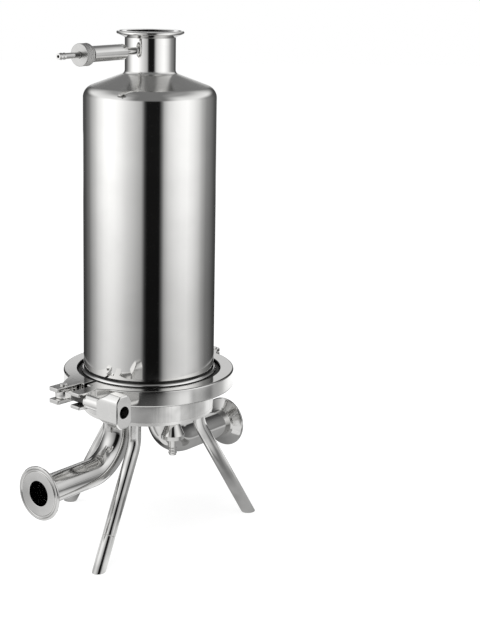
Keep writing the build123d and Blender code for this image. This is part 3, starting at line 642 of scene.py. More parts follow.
def place(made: Any, body: str, finish: Steel, axis: StraightAxis, *nodes: str) -> None:
    """Dress a new piece, make it ride on a body, and let it stand for CAD nodes.

    Args:
        made: The new object.
        body: CAD body that carries it.
        finish: Its steel finish.
        axis: Axis that its marks are centred on.
        nodes: CAD nodes that it replaces.
    """
    made.data.materials.clear()
    made.data.materials.append(finish.material(made.name, axis))
    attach(made, body)
    if nodes:
        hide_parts(*nodes)
    LOG.info("%s rides on %s", made.name, body)


def piece(node: str, how: str, outline: Outline, axis: StraightAxis | BentAxis, body: str,
          finish: Steel, around: int = 96, shape: Shape | None = None,
          marks: StraightAxis | None = None) -> Any:
    """Carry an outline round an axis and let the new piece stand for a CAD node.

    Args:
        node: CAD node that it replaces.
        how: The way it is made, which ends its name.
        outline: Its section.
        axis: Its axis.
        body: CAD body that carries it.
        finish: Its steel finish.
        around: Number of angles.
        shape: Gives the radius where it isn't round.
        marks: Axis that its marks are centred on, where that is another one.

    Returns:
        The new object.
    """
    made = carried(f"{node}_{how}", outline, axis, around, shape)
    place(made, body, finish, marks or axis, node)
    return made


def refinish(made: Any, finish: Steel, axis: StraightAxis, along: Span, away: Span) -> None:
    """Give the faces within a range of distances and radii a second finish.

    Args:
        made: The piece, which already has its main finish.
        finish: The second finish.
        axis: Axis of the piece.
        along: Lowest and highest distance along the axis.
        away: Lowest and highest radius.
    """
    mesh = made.data
    mesh.materials.append(finish.material(f"{made.name}_inner", axis))
    centre = np.zeros(len(mesh.polygons) * 3, np.float32)
    mesh.polygons.foreach_get("center", centre)
    centre = centre.reshape(-1, 3) - axis.origin
    distance = centre @ axis.direction
    radius = np.linalg.norm(centre - distance[:, None] * axis.direction, axis=1) / MM
    distance = distance / MM
    chosen = ((along[0] <= distance) & (distance <= along[1])
              & (away[0] <= radius) & (radius <= away[1]))
    mesh.polygons.foreach_set("material_index", chosen.astype(np.int32))


def dress(frame: Frame, finish: Steel, axis: StraightAxis, *nodes: str) -> None:
    """Give CAD nodes a finish and smooth shading up to sharp edges.

    Args:
        frame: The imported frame.
        finish: The finish.
        axis: Axis that its marks are centred on.
        nodes: CAD nodes that keep their shape.
    """
    sharp = np.radians(25)
    for node in nodes:
        part = frame.data["nodes"][node]
        material = finish.material(node, axis)
        for slot in part.material_slots:
            slot.material = material
        part.data.shade_smooth()
        part.data.set_sharp_from_angle(angle=sharp)
        LOG.info("%s keeps its CAD shape", node)


@dataclass(frozen=True)
class Ferrule:
    """Weld ferrule whose sealing face is at distance zero, with its tube behind it."""

    flange_r: float
    groove_r: float
    tube_r: float
    length: float = 12.7
    groove: float = 1.3
    inset: float = 2.5
    chamfer: float = 0.8

    def outline(self) -> Outline:
        """Return its section: a rim with a rounded groove, and a cone down to the tube."""
        cone_r = self.tube_r + self.inset
        back = RIM + (self.flange_r - cone_r) * CONE
        turn = np.radians(np.linspace(180, 360, 7))
        dip = [(self.groove_r + self.groove * np.cos(a), self.groove * np.sin(a)) for a in turn]
        edge, inner = self.flange_r - self.chamfer, self.tube_r - WALL
        corners = [(inner, 0.0), *dip, (edge, 0.0), (self.flange_r, -self.chamfer),
                   (self.flange_r, self.chamfer - RIM), (edge, -RIM), (cone_r, -back),
                   (self.tube_r, -back - self.inset / 2), (self.tube_r, -self.length, 0.01),
                   (inner, -self.length, 0.01)]
        return eased(corners, ease=0.45, steps=5)


@dataclass
class Bell:
    """Bell with its shoulder, neck, top ferrule and flange, turned about the upright axis.

    Radii are from the axis and heights above the floor.
    """

    frame: Frame
    bell_r: float = 63.5
    neck_r: float = 24.15
    shoulder_top: float = 455.5
    slope: float = 21.0
    knuckle_r: float = 12.0
    neck_fillet: float = 4.0
    collar: float = 3.0
    ferrule_r: float = 32.0
    groove_r: float = 28.2
    flange_r: float = 72.5
    flange_neck_r: float = 66.0
    crown_r: float = 2.4
    # Height of the band of painted shade round the shell's foot, above the flange.
    shade_band: float = 2.4

    def shell_outline(self, bottom: float, foot: float) -> Outline:
        """Work out the shell's section: tube, knuckle arc, cone, fillet arc and collar.

        Both arcs are tangent to their sides; the inner line is the outer one moved inward by
        the wall along its normals.

        Args:
            bottom: Height of the shell's lower edge.
            foot: Height where the band of painted shade over the flange ends.

        Returns:
            The outline.
        """
        knuckle = self.shoulder_top - (self.bell_r - self.neck_r) * np.tan(np.radians(self.slope))
        upright = np.array([[1.0, 0.0]])
        bends = np.array([(self.bell_r, knuckle), (self.neck_r, self.shoulder_top)])
        lean = np.radians(90 - self.slope)
        parts, normals = [[(self.bell_r, bottom)], [(self.bell_r, foot)]], [upright, upright]
        for corner, radius, start, stop, sign in ((bends[0], self.knuckle_r, 0.0, lean, 1),
                                                  (bends[1], self.neck_fillet, lean, 0.0, -1)):
            turn = np.linspace(start, stop, 24)
            spoke = np.stack([np.cos(turn), np.sin(turn)], 1)
            centre = corner + sign * np.array([-radius, -radius * np.tan(lean / 2)])
            parts.append(centre + sign * radius * spoke)
            normals.append(spoke)
        outer = np.vstack([*parts, [(self.neck_r, self.shoulder_top + self.collar)]])
        way = np.vstack([*normals, upright])
        points = np.vstack([outer, (outer - WALL * way)[::-1]]) * MM
        return refined(Outline(points, np.vstack([way, -way[::-1]]), True), spacing=12.0)

    def build(self) -> None:
        """Build and dress the bell's pieces."""
        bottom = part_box("bell_shell")[0].z / MM
        foot = self.frame.span("bell_flange")[1] + self.shade_band
        shell = piece("bell_shell", "turned", self.shell_outline(bottom, foot), UPRIGHT, "housing",
                      DOMED, around=256)
        # Painted shade: a dark band round the shell's foot, just above the flange.
        refinish(shell, PAINTED_GAP_SHADE, UPRIGHT, (0.0, foot), (self.bell_r - 0.5, self.bell_r + 0.5))
        neck = tube(self.neck_r - WALL, self.neck_r, *self.frame.span("neck_tube"))
        piece("neck_tube", "drawn", eased(neck, ease=0.01), UPRIGHT, "housing", MIRROR, around=192)
        face = StraightAxis(UP * self.frame.span("neck_ferrule")[1] * MM, UP, RIGHT)
        outline = Ferrule(self.ferrule_r, self.groove_r, self.neck_r).outline()
        piece("neck_ferrule", "turned", outline, face, "housing", MIRROR, around=192)
        self.flange()

    def flange(self) -> None:
        """Build the bell's flange: a rim with a 20 degree cone and a rounded crown."""
        low, high = self.frame.span("bell_flange")
        inner, rim = self.bell_r - WALL, low + RIM
        cone = rim + (self.flange_r - self.flange_neck_r) * CONE
        turn = np.radians(np.linspace(4, 86, 12))
        crown = [(self.bell_r + self.crown_r * np.cos(a),
                  high - self.crown_r + self.crown_r * np.sin(a), 0.05) for a in turn]
        outline = eased([(inner, low), (self.flange_r, low), (self.flange_r, rim),
                         (self.flange_neck_r, cone, 0.1), *crown, (self.bell_r, high, 0.02),
                         (inner, high)], ease=0.5)
        made = piece("bell_flange", "turned", outline, UPRIGHT, "housing", MIRROR, around=192)
        # Painted shade on the flange's cone, below the crown.
        refinish(made, PAINTED_GAP_SHADE, UPRIGHT, (rim, high - self.crown_r),
                 (self.flange_neck_r - 1, self.flange_r))


@dataclass
class Ports:
    """Inlet and outlet: an elbow under the plate and a ferrule at its level end."""

    frame: Frame
    ferrule: Ferrule = Ferrule(25.25, 21.8, 13.45)
    reach: float = 105.0
    face_step: float = 16.0
    elbow_r: float = 38.1
    names: tuple[str, str] = ("inlet", "outlet")

    def build(self) -> None:
        """Build both elbows and both ferrules, whose faces are turned without polish."""
        radius, ferrule = self.ferrule.tube_r, self.ferrule
        for name in self.names:
            above, outward = self.frame.mount(f"{name}_face")
            face = above - UP * self.face_step * MM
            corner = face - outward * self.reach * MM
            start = np.array([*corner[:2], self.frame.span(f"{name}_elbow")[1] * MM])
            axis = BentAxis(start, corner, face - outward * ferrule.length * MM, self.elbow_r * MM)
            section = eased(tube(radius - WALL, radius, 0, axis.length() / MM), ease=0.05)
            level = StraightAxis(face, outward, UP)
            piece(f"{name}_elbow", "bent", refined(section, spacing=2.0), axis, "housing", BRIGHT,
                  marks=level)
            made = piece(f"{name}_ferrule", "turned", ferrule.outline(), level, "housing", BRIGHT,
                         around=160)
            refinish(made, TURNED, level, (-0.05, 0.1),
                     (radius - WALL + PLAY, ferrule.flange_r - ferrule.chamfer - PLAY))


@dataclass
class Base:
    """Plate, socket, drum and legs."""

    frame: Frame
    drum_r: float = 63.5
    leg_r: float = 6.35
    leg_straight: float = 22.0
    leg_bend: float = 30.0
    leg_ease: float = 0.8
    foot_run: float = 20.0
    ring_line: float = 34.0
    ring_depth: float = 0.6
    ring_half: float = 0.45
    legs: tuple[str, ...] = ("front_leg", "right_leg", "rear_leg")

    def build(self) -> None:
        """Build the drum's skirt and the legs, and dress the plate, floor and socket."""
        skirt = tube(self.drum_r - WALL, self.drum_r, *self.frame.span("drum_skirt"))
        piece("drum_skirt", "rolled", eased(skirt, ease=0.1), UPRIGHT, "housing", ROLLED,
              around=256)
        dress(self.frame, TURNED, UPRIGHT, "base_plate", "drum_floor", "cartridge_socket")
        for leg in self.legs:
            self.build_leg(leg)

    def build_leg(self, node: str) -> None:
        """Build a bent rod whose foot is cut level with the floor.

        The last stretch is sheared along the rod so that the end face lies flat.

        Args:
            node: Name of the leg. The first one carries the ring line.
        """
        near = 0.1 * MM
        points = np.array([vertex.co for vertex in self.frame.data["nodes"][node].data.vertices])
        top = points[points[:, 2] > points[:, 2].max() - near].mean(0)
        sole = points[points[:, 2] < near]
        foot = np.array([*((sole.min(0) + sole.max(0)) / 2)[:2], 0.0])
        knee = top - UP * self.leg_straight * MM
        axis = BentAxis(top, knee, foot, self.leg_bend * MM)
        end = axis.length() / MM
        line = end - self.ring_line
        cut = [(self.leg_r, line - self.ring_half, 0.1), (self.leg_r - self.ring_depth, line, 0.1),
               (self.leg_r, line + self.ring_half, 0.1)] if node == self.legs[0] else []
        corners = [(0, 0), (self.leg_r, 0), *cut, (self.leg_r, end), (0, end)]
        section = refined(eased(corners, self.leg_ease, closed=False), spacing=2.0)
        made = carried(f"{node}_rod", section, axis, around=48)
        tilt = unit(foot - knee)
        vertices = made.data.vertices
        spot = np.zeros(len(vertices) * 3, np.float32)
        vertices.foreach_get("co", spot)
        spot = spot.reshape(-1, 3)
        along = (spot - foot) @ tilt
        offset = (spot - foot) - along[:, None] * tilt
        spot += (-offset[:, 2] / tilt[2] * ramp(along, -self.foot_run * MM, 0.0))[:, None] * tilt
        vertices.foreach_set("co", spot.ravel())
        made.data.update()
        place(made, "housing", DRAWN, StraightAxis(foot, tilt, RIGHT), node)


@dataclass
class Clamp:
    """Hinged clamp: two halves, two pins, the swing bolt, the sleeve and the nut."""

    frame: Frame
    edge: float = 0.8
    weld: float = 0.05
    flat_angle: float = 1.0
    edge_angle: float = 30.0
    sharp_angle: float = 35.0
    skin: float = 0.3
    bore_r: float = 73.9
    hinge_r: float = 3.0
    pivot_r: float = 2.5
    pin_head: float = 1.2
    bolt_r: float = 4.0
    pitch: float = 1.25
    thread_depth: float = 0.55
    thread_start: float = 3.0
    eye_r: float = 8.0
    eye_thickness: float = 7.0
    eye_neck: float = 15.0
    eye_ease: float = 0.7
    eye_chamfer: float = 0.2
    sleeve_r: float = 6.4
    nut_height: float = 31.0
    nut_width: float = 18.0
    nut_flank: float = 21.0
    nut_top: float = 9.6
    nut_root: float = 14.0
    nut_shoulder: float = 12.5
    nut_edge: float = 1.2
    mouth_r: float = 5.6
    mouth_depth: float = 11.0

    def build(self) -> None:
        """Build the clamp's pieces."""
        self.soften("left_clamp_half", "housing")
        self.soften("right_clamp_half", "right_clamp")
        pivot, outward = self.frame.joint("bolt_swing")[0], self.frame.joint("nut_slide")[1]
        self.pin("hinge_pin", self.frame.joint("clamp_hinge")[0], self.hinge_r)
        self.pin("bolt_pivot_pin", pivot, self.pivot_r)
        axis = StraightAxis(pivot, outward, UP)
        bolt, sleeve, nut = (self.frame.span(node, outward, float(pivot @ outward))
                             for node in ("swing_bolt", "nut_sleeve", "clamp_nut"))
        self.bolt(axis, bolt[1])
        section = tube(self.bolt_r + PLAY, self.sleeve_r, *sleeve)
        piece("nut_sleeve", "turned", eased(section, ease=0.4), axis, "sleeve", TURNED)
        self.nut(axis, sleeve[1], nut[1])

    def soften(self, node: str, body: str) -> None:
        """Copy a clamp half, join its triangles, round its edges and paint shade on its inside.

        Args:
            node: Name of the half.
            body: CAD body that carries it.
        """
        mesh = self.frame.data["nodes"][node].data.copy()
        made = linked(f"{node}_cast", mesh)
        flat, edge, sharp = np.radians((self.flat_angle, self.edge_angle, self.sharp_angle))
        new = made.modifiers.new
        settled(new("weld", "WELD"), merge_threshold=self.weld * MM)
        settled(new("flats", "DECIMATE"), decimate_type="DISSOLVE", angle_limit=flat)
        settled(new("edges", "BEVEL"), width=self.edge * MM, segments=3, use_clamp_overlap=False,
                limit_method="ANGLE", angle_limit=edge)
        settled(new("shading", "WEIGHTED_NORMAL"), keep_sharp=True)
        mesh.shade_smooth()
        mesh.set_sharp_from_angle(angle=sharp)
        place(made, body, BUFFED, UPRIGHT, node)
        low, high = self.frame.span(node)
        # Painted shade on the faces inside the bore, away from the top and bottom.
        refinish(made, PAINTED_GAP_SHADE, UPRIGHT, (low + self.skin, high - self.skin), (0.0, self.bore_r))

    def pin(self, node: str, centre: np.ndarray, radius: float) -> None:
        """Build an upright pin with a low domed head on each end.

        Args:
            node: Name of the pin.
            centre: Place of its joint in metres.
            radius: Radius of its shank.
        """
        low, high = self.frame.span(node, UP, centre[2])
        head, wide = self.pin_head, radius + self.pin_head
        corners = [(0, low), (wide, low), (wide, low + head), (radius, low + head),
                   (radius, high - head), (wide, high - head), (wide, high), (0, high)]
        piece(node, "turned", eased(corners, ease=0.5, closed=False),
              StraightAxis(centre, UP, RIGHT), "housing", TURNED, around=48)

    def bolt(self, axis: StraightAxis, end: float) -> None:
        """Build the swing bolt: an eye with a flat neck, and a threaded shank.

        Args:
            axis: Axis of the bolt, from its pivot.
            end: Distance of the shank's end.
        """
        place(self.eye(axis), "bolt", CAST, axis, "swing_bolt")
        pitch, depth, neck = self.pitch * MM, self.thread_depth * MM, self.eye_neck
        core = 0.6 * self.bolt_r * MM

        def thread(radius: np.ndarray, along: np.ndarray, angle: np.ndarray) -> np.ndarray:
            """Cut a V thread: the depth follows |2 frac(a / pitch - t / 2 pi) - 1|."""
            wave = np.abs(2 * ((along / pitch - angle / (2 * np.pi)) % 1.0) - 1)
            begun = ramp(along, neck * MM, (neck + self.thread_start) * MM)
            return radius - depth * wave * (radius > core) * begun

        chamfer, start = 0.8, neck - 1
        corners = [(0, start), (self.bolt_r, start), (self.bolt_r, end - chamfer),
                   (self.bolt_r - chamfer, end), (0, end)]
        shank = refined(eased(corners, ease=0.2, closed=False), self.pitch / 6)
        # The threaded shank takes the dark steel that paints the shade in hollows.
        place(carried("swing_bolt_thread", shank, axis, 40, thread), "bolt", PAINTED_HOLLOW_SHADE, axis)

    def eye(self, axis: StraightAxis) -> Any:
        """Build the eye as a plate between its hole and its outer edge.

        The outer edge is the larger of the eye's circle and the neck's box, as seen along a
        ray from the pivot. The section runs up the hole, over the top, down and back.

        Args:
            axis: Axis of the bolt, from its pivot.

        Returns:
            The new object.
        """
        reach, ease, chamfer = self.eye_neck, self.eye_ease, self.eye_chamfer
        corner = np.array([np.arctan2(self.bolt_r, reach), np.arcsin(self.bolt_r / self.eye_r)])
        angle = np.unique(np.concatenate([np.linspace(-np.pi, np.pi, 180, endpoint=False),
                                          corner, -corner]))
        ahead = np.cos(angle) > 1e-6
        box = np.minimum(reach / np.where(ahead, np.cos(angle), 1.0),
                         self.bolt_r / np.maximum(np.abs(np.sin(angle)), 1e-6))
        outer = np.maximum(self.eye_r, np.where(ahead, box, 0.0))
        half = self.eye_thickness / 2
        turn = np.radians(np.linspace(0, 90, 5))
        rim = [(outer - ease + ease * np.cos(a), half - ease + ease * np.sin(a)) for a in turn]
        hole = np.full_like(angle, self.pivot_r + PLAY)
        section = [(hole, half - chamfer), (hole + chamfer, half), *reversed(rim),
                   *((radius, -height) for radius, height in rim), (hole + chamfer, -half),
                   (hole, chamfer - half)]
        cross = np.cross(axis.side, axis.direction)
        way = np.cos(angle)[:, None] * axis.direction + np.sin(angle)[:, None] * cross
        rows = [axis.origin + (radius[:, None] * way + height * axis.side) * MM
                for radius, height in section]
        return grid_object("swing_bolt_eye", np.array(rows), None, True)

    def nut(self, axis: StraightAxis, start: float, end: float) -> None:
        """Build the nut: a tall block with bevelled wings that narrows towards the sleeve.

        The outer radius at angle t is the smallest of the distances to the flank w / |sin t|,
        the top h(a) / |cos t| and the bevel d / (m |sin t| + n |cos t|), where h rises in a
        straight line over the shoulder. The smallest is taken softly, as the sum of their
        powers of -26, which rounds the edges.

        Args:
            axis: Axis of the bolt, from its pivot.
            start: Distance of the nut's seat on the sleeve.
            end: Distance of its outer face.
        """
        half, flank, top = self.nut_height / 2, self.nut_flank / 2, self.nut_top / 2
        width, root, edge = self.nut_width / 2, self.nut_root / 2, self.nut_edge
        bevel = unit(np.array([half - flank, width - top]))
        reach, power = float(bevel @ (width, flank)), 26.0
        # The outline is drawn up to this radius and then stretched to the block's sides.
        drawn, steady = 20.0, self.mouth_r + PLAY

        def block(radius: np.ndarray, along: np.ndarray, angle: np.ndarray) -> np.ndarray:
            """Stretch the outline from the mouth's edge out to the block's sides."""
            across = np.maximum(np.abs(np.sin(angle)), 1e-6) + 0.0 * along
            upright = np.maximum(np.abs(np.cos(angle)), 1e-6) + 0.0 * along
            rise = np.minimum(root + (half - root) * (along / MM - start) / self.nut_shoulder, half)
            sides = np.stack([width / across, np.maximum(rise, root) / upright,
                              reach / (bevel[0] * across + bevel[1] * upright)])
            limit = np.sum(sides ** -power, 0) ** (-1 / power)
            given = radius / MM
            share = np.clip((given - steady) / (drawn - edge - steady), 0.0, 1.0)
            beyond = np.maximum(given - drawn + edge, 0.0)
            wide = steady + share * (limit - edge - steady) + beyond
            return np.where(given <= steady, given, wide) * MM

        hole, bottom, inner, outer = self.bolt_r + PLAY, end - self.mouth_depth, 0.6, 1.0
        corners = [(hole, start), (drawn - inner, start), (drawn, start + inner),
                   (drawn, end - outer), (drawn - outer, end), (self.mouth_r, end),
                   (self.mouth_r, bottom), (hole, bottom)]
        section = refined(eased(corners, ease=0.4, steps=6), spacing=0.8)
        made = piece("clamp_nut", "cast", section, axis, "nut", CAST, around=288, shape=block)
        # Painted shade inside the nut's mouth.
        refinish(made, PAINTED_HOLLOW_SHADE, axis, (start, end - outer / 2), (0.0, self.mouth_r + PLAY / 2))


@dataclass(frozen=True)
class Barb:
    """Hose barb: a spout with a few ridges before its tip."""

    root: float
    rise: float = 0.5
    pitch: float = 4.0
    ridges: int = 2
    lip: float = 0.2
    flat: float = 0.3

    def corners(self, start: float, end: float) -> Corners:
        """Work out its outer line, where each ridge rises steeply and falls off towards the tip.

        Args:
            start: Distance where the spout begins.
            end: Distance of its tip.

        Returns:
            The corners.
        """
        points = [(self.root, start)]
        crest = self.root + self.rise
        for ridge in (end - count * self.pitch for count in range(self.ridges, 0, -1)):
            points += [(self.root, ridge), (crest, ridge + self.lip),
                       (crest, ridge + self.lip + self.flat), (self.root, ridge + self.pitch / 2)]
        return points + [(self.root, end)]


@dataclass
class VentValve:
    """Vent valve on the neck; distances run outward from the bell's axis."""

    frame: Frame
    stub_r: float = 3.6
    stub_bore_r: float = 2.0
    body_r: float = 7.3
    body_chamfer: float = 2.0
    shoulder_chamfer: float = 0.6
    gap: float = 4.0
    nose_r: float = 5.0
    stem_r: float = 2.65
    stem_start: float = 6.0
    bore_r: float = 1.3
    collar_r: float = 4.9
    collar: float = 1.6
    collar_gap: float = 0.8
    knob_r: float = 10.3
    knob_cup: float = 2.5
    teeth: int = 60
    tooth_depth: float = 0.35
    knurl_margin: float = 0.7
    knurl_start: float = 0.97

    def build(self) -> None:
        """Build the stub, the body, the stem and the knurled knob."""
        centre, outward = self.frame.joint("vent_turn")
        axis = StraightAxis(UP * centre[2], outward, UP)
        stub, body, stem, knob = (self.frame.span(f"vent_{name}", outward)
                                  for name in ("stub", "body", "stem", "knob"))
        section = tube(self.stub_bore_r, self.stub_r, *stub)
        piece("vent_stub", "turned", eased(section, ease=0.3), axis, "housing", BRIGHT)
        low, high = body
        shoulder, chamfer, cut = knob[0] - self.gap, self.body_chamfer, self.shoulder_chamfer
        corners = [(self.stub_r + PLAY, low), (self.body_r - chamfer, low),
                   (self.body_r, low + chamfer), (self.body_r, shoulder - cut),
                   (self.body_r - cut, shoulder), (self.nose_r, shoulder), (self.nose_r, high),
                   (self.stub_r, high)]
        made = piece("vent_body", "turned", eased(corners, ease=0.3), axis, "housing", MILLED)
        # Painted shade on the nose, in the gap between the body and the knob.
        refinish(made, PAINTED_HOLLOW_SHADE, axis, (shoulder + PLAY, high), (0.0, self.nose_r + PLAY))
        self.stem(axis, *stem, high)
        self.knob(axis, *knob, high)

    def stem(self, axis: StraightAxis, low: float, high: float, nose: float) -> None:
        """Build the visible stem with its bore, its collar and the hose barb.

        Args:
            axis: Axis of the valve.
            low: Distance of the stem's inner end.
            high: Distance of its tip.
            nose: Distance of the end of the body's nose.
        """
        start, collar = low + self.stem_start, nose + self.collar_gap
        corners = [(self.bore_r, start), (self.stem_r, start), (self.stem_r, collar),
                   (self.collar_r, collar), (self.collar_r, collar + self.collar),
                   *Barb(self.stem_r).corners(collar + self.collar, high), (self.bore_r, high)]
        piece("vent_stem", "turned", eased(corners, ease=0.15), axis, "vent_spindle", BRIGHT)

    def knob(self, axis: StraightAxis, low: float, high: float, nose: float) -> None:
        """Build the knob with a knurled rim.

        Args:
            axis: Axis of the valve.
            low: Distance of the knob's inner face.
            high: Distance of its outer face.
            nose: Distance of the end of the body's nose.
        """
        teeth, depth, margin = self.teeth, self.tooth_depth * MM, self.knurl_margin * MM
        rim, inner, outer = self.knurl_start * self.knob_r * MM, low * MM, high * MM

        def knurl(radius: np.ndarray, along: np.ndarray, angle: np.ndarray) -> np.ndarray:
            """Press a diamond pattern into the rim: two crossed helices of V grooves."""
            lean = along / (self.knob_r * MM)
            first, second = (np.abs((teeth * turn / (2 * np.pi)) % 1.0 - 0.5) * 2
                             for turn in (angle + lean, angle - lean))
            inside = (ramp(along, inner + margin, inner + 2 * margin)
                      * (1 - ramp(along, outer - 2 * margin, outer - margin)))
            cut = depth * (1 - np.minimum(first, second)) * inside
            return np.where(radius > rim, radius - cut, radius)

        mouth, hole, cup = self.nose_r + PLAY, self.stem_r + 2 * PLAY, nose + self.knob_cup
        corners = [(mouth, low), (self.knob_r, low), (self.knob_r, high), (hole, high),
                   (hole, cup), (mouth, cup)]
        section = refined(eased(corners, ease=0.5), spacing=0.25)
        piece("vent_knob", "turned", section, axis, "vent_handle", FACED, around=360, shape=knurl)


@dataclass
class DrainValve:
    """Drain valve under the drum; distances run downward from the plate's underside."""

    frame: Frame
    knob_top_r: float = 4.8
    knob_rim_r: float = 11.2
    rim: float = 4.0
    cup: float = 2.0
    nose_r: float = 3.6
    stem_r: float = 1.9
    bore_r: float = 1.0
    barb: Barb = Barb(3.6, 0.6, 2.6, 3)

    def build(self) -> None:
        """Build the conical knob and the hose barb, and dress the body and stem."""
        centre, down = self.frame.joint("drain_turn")
        top = np.array([*centre[:2], self.frame.span("drain_body")[1] * MM])
        axis = StraightAxis(top, down, RIGHT)
        body, knob, barb = (self.frame.span(f"drain_{name}", down, float(top @ down))
                            for name in ("body", "knob", "barb"))
        low, high = knob
        mouth, hole, cup = self.nose_r + PLAY, self.stem_r + 2 * PLAY, body[1] + self.cup
        corners = [(mouth, low), (self.knob_top_r, low), (self.knob_rim_r, high - self.rim),
                   (self.knob_rim_r, high), (hole, high), (hole, cup), (mouth, cup)]
        piece("drain_knob", "turned", eased(corners, ease=0.4), axis, "drain_handle", BRIGHT)
        low, high = barb
        corners = [(self.bore_r, low), *self.barb.corners(low, high), (self.bore_r, high)]
        piece("drain_barb", "turned", eased(corners, ease=0.2), axis, "drain_spindle", BRIGHT)
        dress(self.frame, BRIGHT, axis, "drain_body", "drain_stem")


def seen_directly(make: Nodes) -> Any:
    """Tell the rays that see a thing from those that only light by it.

    Args:
        make: Nodes of the material or the world.

    Returns:
        1 for the camera's rays and for those seen by reflection or through glass, otherwise 0.
    """
    ray = make.add("ShaderNodeLightPath")
    mirrored = make.math("MAXIMUM", ray["Is Glossy Ray"], ray["Is Transmission Ray"])
    return make.math("MAXIMUM", ray["Is Camera Ray"], mirrored)


@dataclass(frozen=True)
class Studio:
    """Light tent, floor, lamp and camera.

    The tent is a drum of light round the housing that only reflections see: two broad soft
    boxes, a dark strip towards the camera and dark flags towards the back. Its places are in
    metres. A glow is a ring of (angle from the camera's side in degrees, positive to the
    right, and brightness there). A fade runs between two places and two values.
    """

    # Radius and height of the wall, from its foot up: a low bowl, then a cylinder.
    wall: Ring = ((0.03, 0.0004), (0.17, 0.0006), (0.30, 0.032), (0.52, 0.115), (0.52, 0.4),
                  (0.52, 0.7), (0.52, 1.0), (0.52, 1.4))
    columns: int = 96
    left_glow: Ring = (
        (-180, 0.85), (-171, 0.7), (-161, 0.04), (-138, 0.08), (-122, 0.2), (-112, 0.41),
        (-102, 0.6), (-94, 0.82), (-80, 1.07), (-70, 1.14), (-60, 1.1), (-48, 0.95), (-37, 0.75),
        (-27, 0.61), (-14, 0.4), (-8.5, 0.06))
    right_glow: Ring = (
        (-5, 0.008), (15, 0.008), (19, 0.15), (23, 0.45), (30, 0.7), (40, 0.87), (52, 1.0),
        (63, 1.05), (75, 0.9), (87, 0.68), (96, 0.45), (108, 0.25), (139, 0.08), (161, 0.04),
        (171, 0.7), (180, 0.85))
    rise: Fade = (0.0, 0.4, 0.71, 1.21)
    # The lowest part of the wall, which the clamp and the drum mirror.
    table_glow: Ring = (
        (-180, 0.9), (-150, 1.0), (-125, 1.0), (-105, 0.5), (-85, 0.75), (-60, 0.6), (-40, 0.3),
        (-29, 0.2), (-18, 0.13), (-14, 0.05), (8, 0.07), (15, 0.2), (21, 0.39), (26, 0.6),
        (32, 0.78), (38, 1.0), (48, 1.02), (55, 0.48), (61, 0.56), (68, 0.45), (75, 0.3),
        (82, 0.22), (89, 0.44), (97, 0.5), (106, 0.64), (115, 1.0), (126, 1.25), (180, 1.2))
    above_table: Fade = (0.065, 0.071, 0.0, 1.0)
    even_table: Fade = (0.048, 0.057, 0.5, 0.0)
    table_level: float = 0.8
    # The foot of the wall, which the legs and the tubes mirror.
    foot_glow: Ring = (
        (-180, 0.2), (-165, 0.06), (-148, 0.04), (-132, 0.4), (-100, 1.1), (-72, 0.3),
        (-48, 0.9), (-12, 1.0), (25, 0.9), (50, 0.7), (64, 0.2), (82, 0.4), (112, 0.45),
        (135, 0.4), (160, 0.3), (180, 0.2))
    at_foot: Fade = (0.026, 0.038, 1.0, 0.0)
    # The panel at the back, with a dark corner where the forks are mirrored.
    panel_depth: Fade = (0.47, 0.50, 0.0, 1.0)
    panel_bottom: Fade = (0.24, 0.28, 0.0, 1.0)
    panel_top: Fade = (0.37, 0.42, 1.0, 0.0)
    panel_level: float = 0.72
    corner_across: Fade = (-0.08, -0.06, 0.15, 0.72)
    corner_bottom: Fade = (0.328, 0.34, 0.0, 1.0)
    # The ceiling, and the eaves to both sides of it.
    under_ceiling: Fade = (0.52, 0.66, 0.0, 1.0)
    eaves: Fade = (0.62, 1.2, 0.95, 0.35)
    ceiling_half: Span = (0.2, 0.45)
    ceiling_level: float = 0.2
    # The floor: half its side, its paper, and how it shades and shines where it is seen.
    floor_half: float = 6.0
    paper: float = 0.93
    paper_shade: float = 0.42
    paper_shine: float = 0.80
    # The world's strength for the light that it casts.
    sky: float = 0.5
    lamp_place: tuple[float, float, float] = (-0.5, -0.6, 1.9)
    lamp_aim: tuple[float, float, float] = (0.5, 0.6, -1.8)
    lamp_size: float = 1.6
    lamp_power: float = 22.0
    # Camera fitted to the photograph, with its angles in degrees.
    place: tuple[float, float, float] = (-0.0073, -1.352, 0.5693)
    yaw: float = 3.991
    pitch: float = 9.835
    roll: float = 0.9
    lens: float = 82.51
    sensor: float = 36.0
    shift_y: float = -0.18

    def build(self) -> None:
        """Build the whole studio."""
        self.tent()
        self.floor()
        self.world()
        self.lamp()
        self.camera()

    def tent(self) -> None:
        """Build the drum of light: each row is a circle of the wall, under a flat roof."""
        turn = np.linspace(0, 2 * np.pi, self.columns, endpoint=False)
        wall = np.array(self.wall)
        circle = np.stack([np.cos(turn), np.sin(turn)], 1)
        across = wall[:, None, :1] * circle
        height = np.repeat(wall[:, None, 1:], self.columns, 1)
        points = np.concatenate([across, height], -1).reshape(-1, 3)
        index = np.arange(len(points)).reshape(len(wall), -1)
        quads, last = strips(index[:-1], index[1:]), index[-1]
        roof = np.stack([last, np.roll(last, -1), np.full_like(last, len(points))], -1)
        points = np.vstack([points, UP * wall[-1, 1]])
        mesh = bpy.data.meshes.new("light_tent")
        mesh.from_pydata(points.tolist(), [], quads.tolist() + roof.tolist())
        mesh.materials.append(self.tent_material())
        tent = linked("light_tent", mesh)
        settled(tent, visible_camera=False, visible_diffuse=False, visible_shadow=False,
                visible_transmission=False, visible_volume_scatter=False)

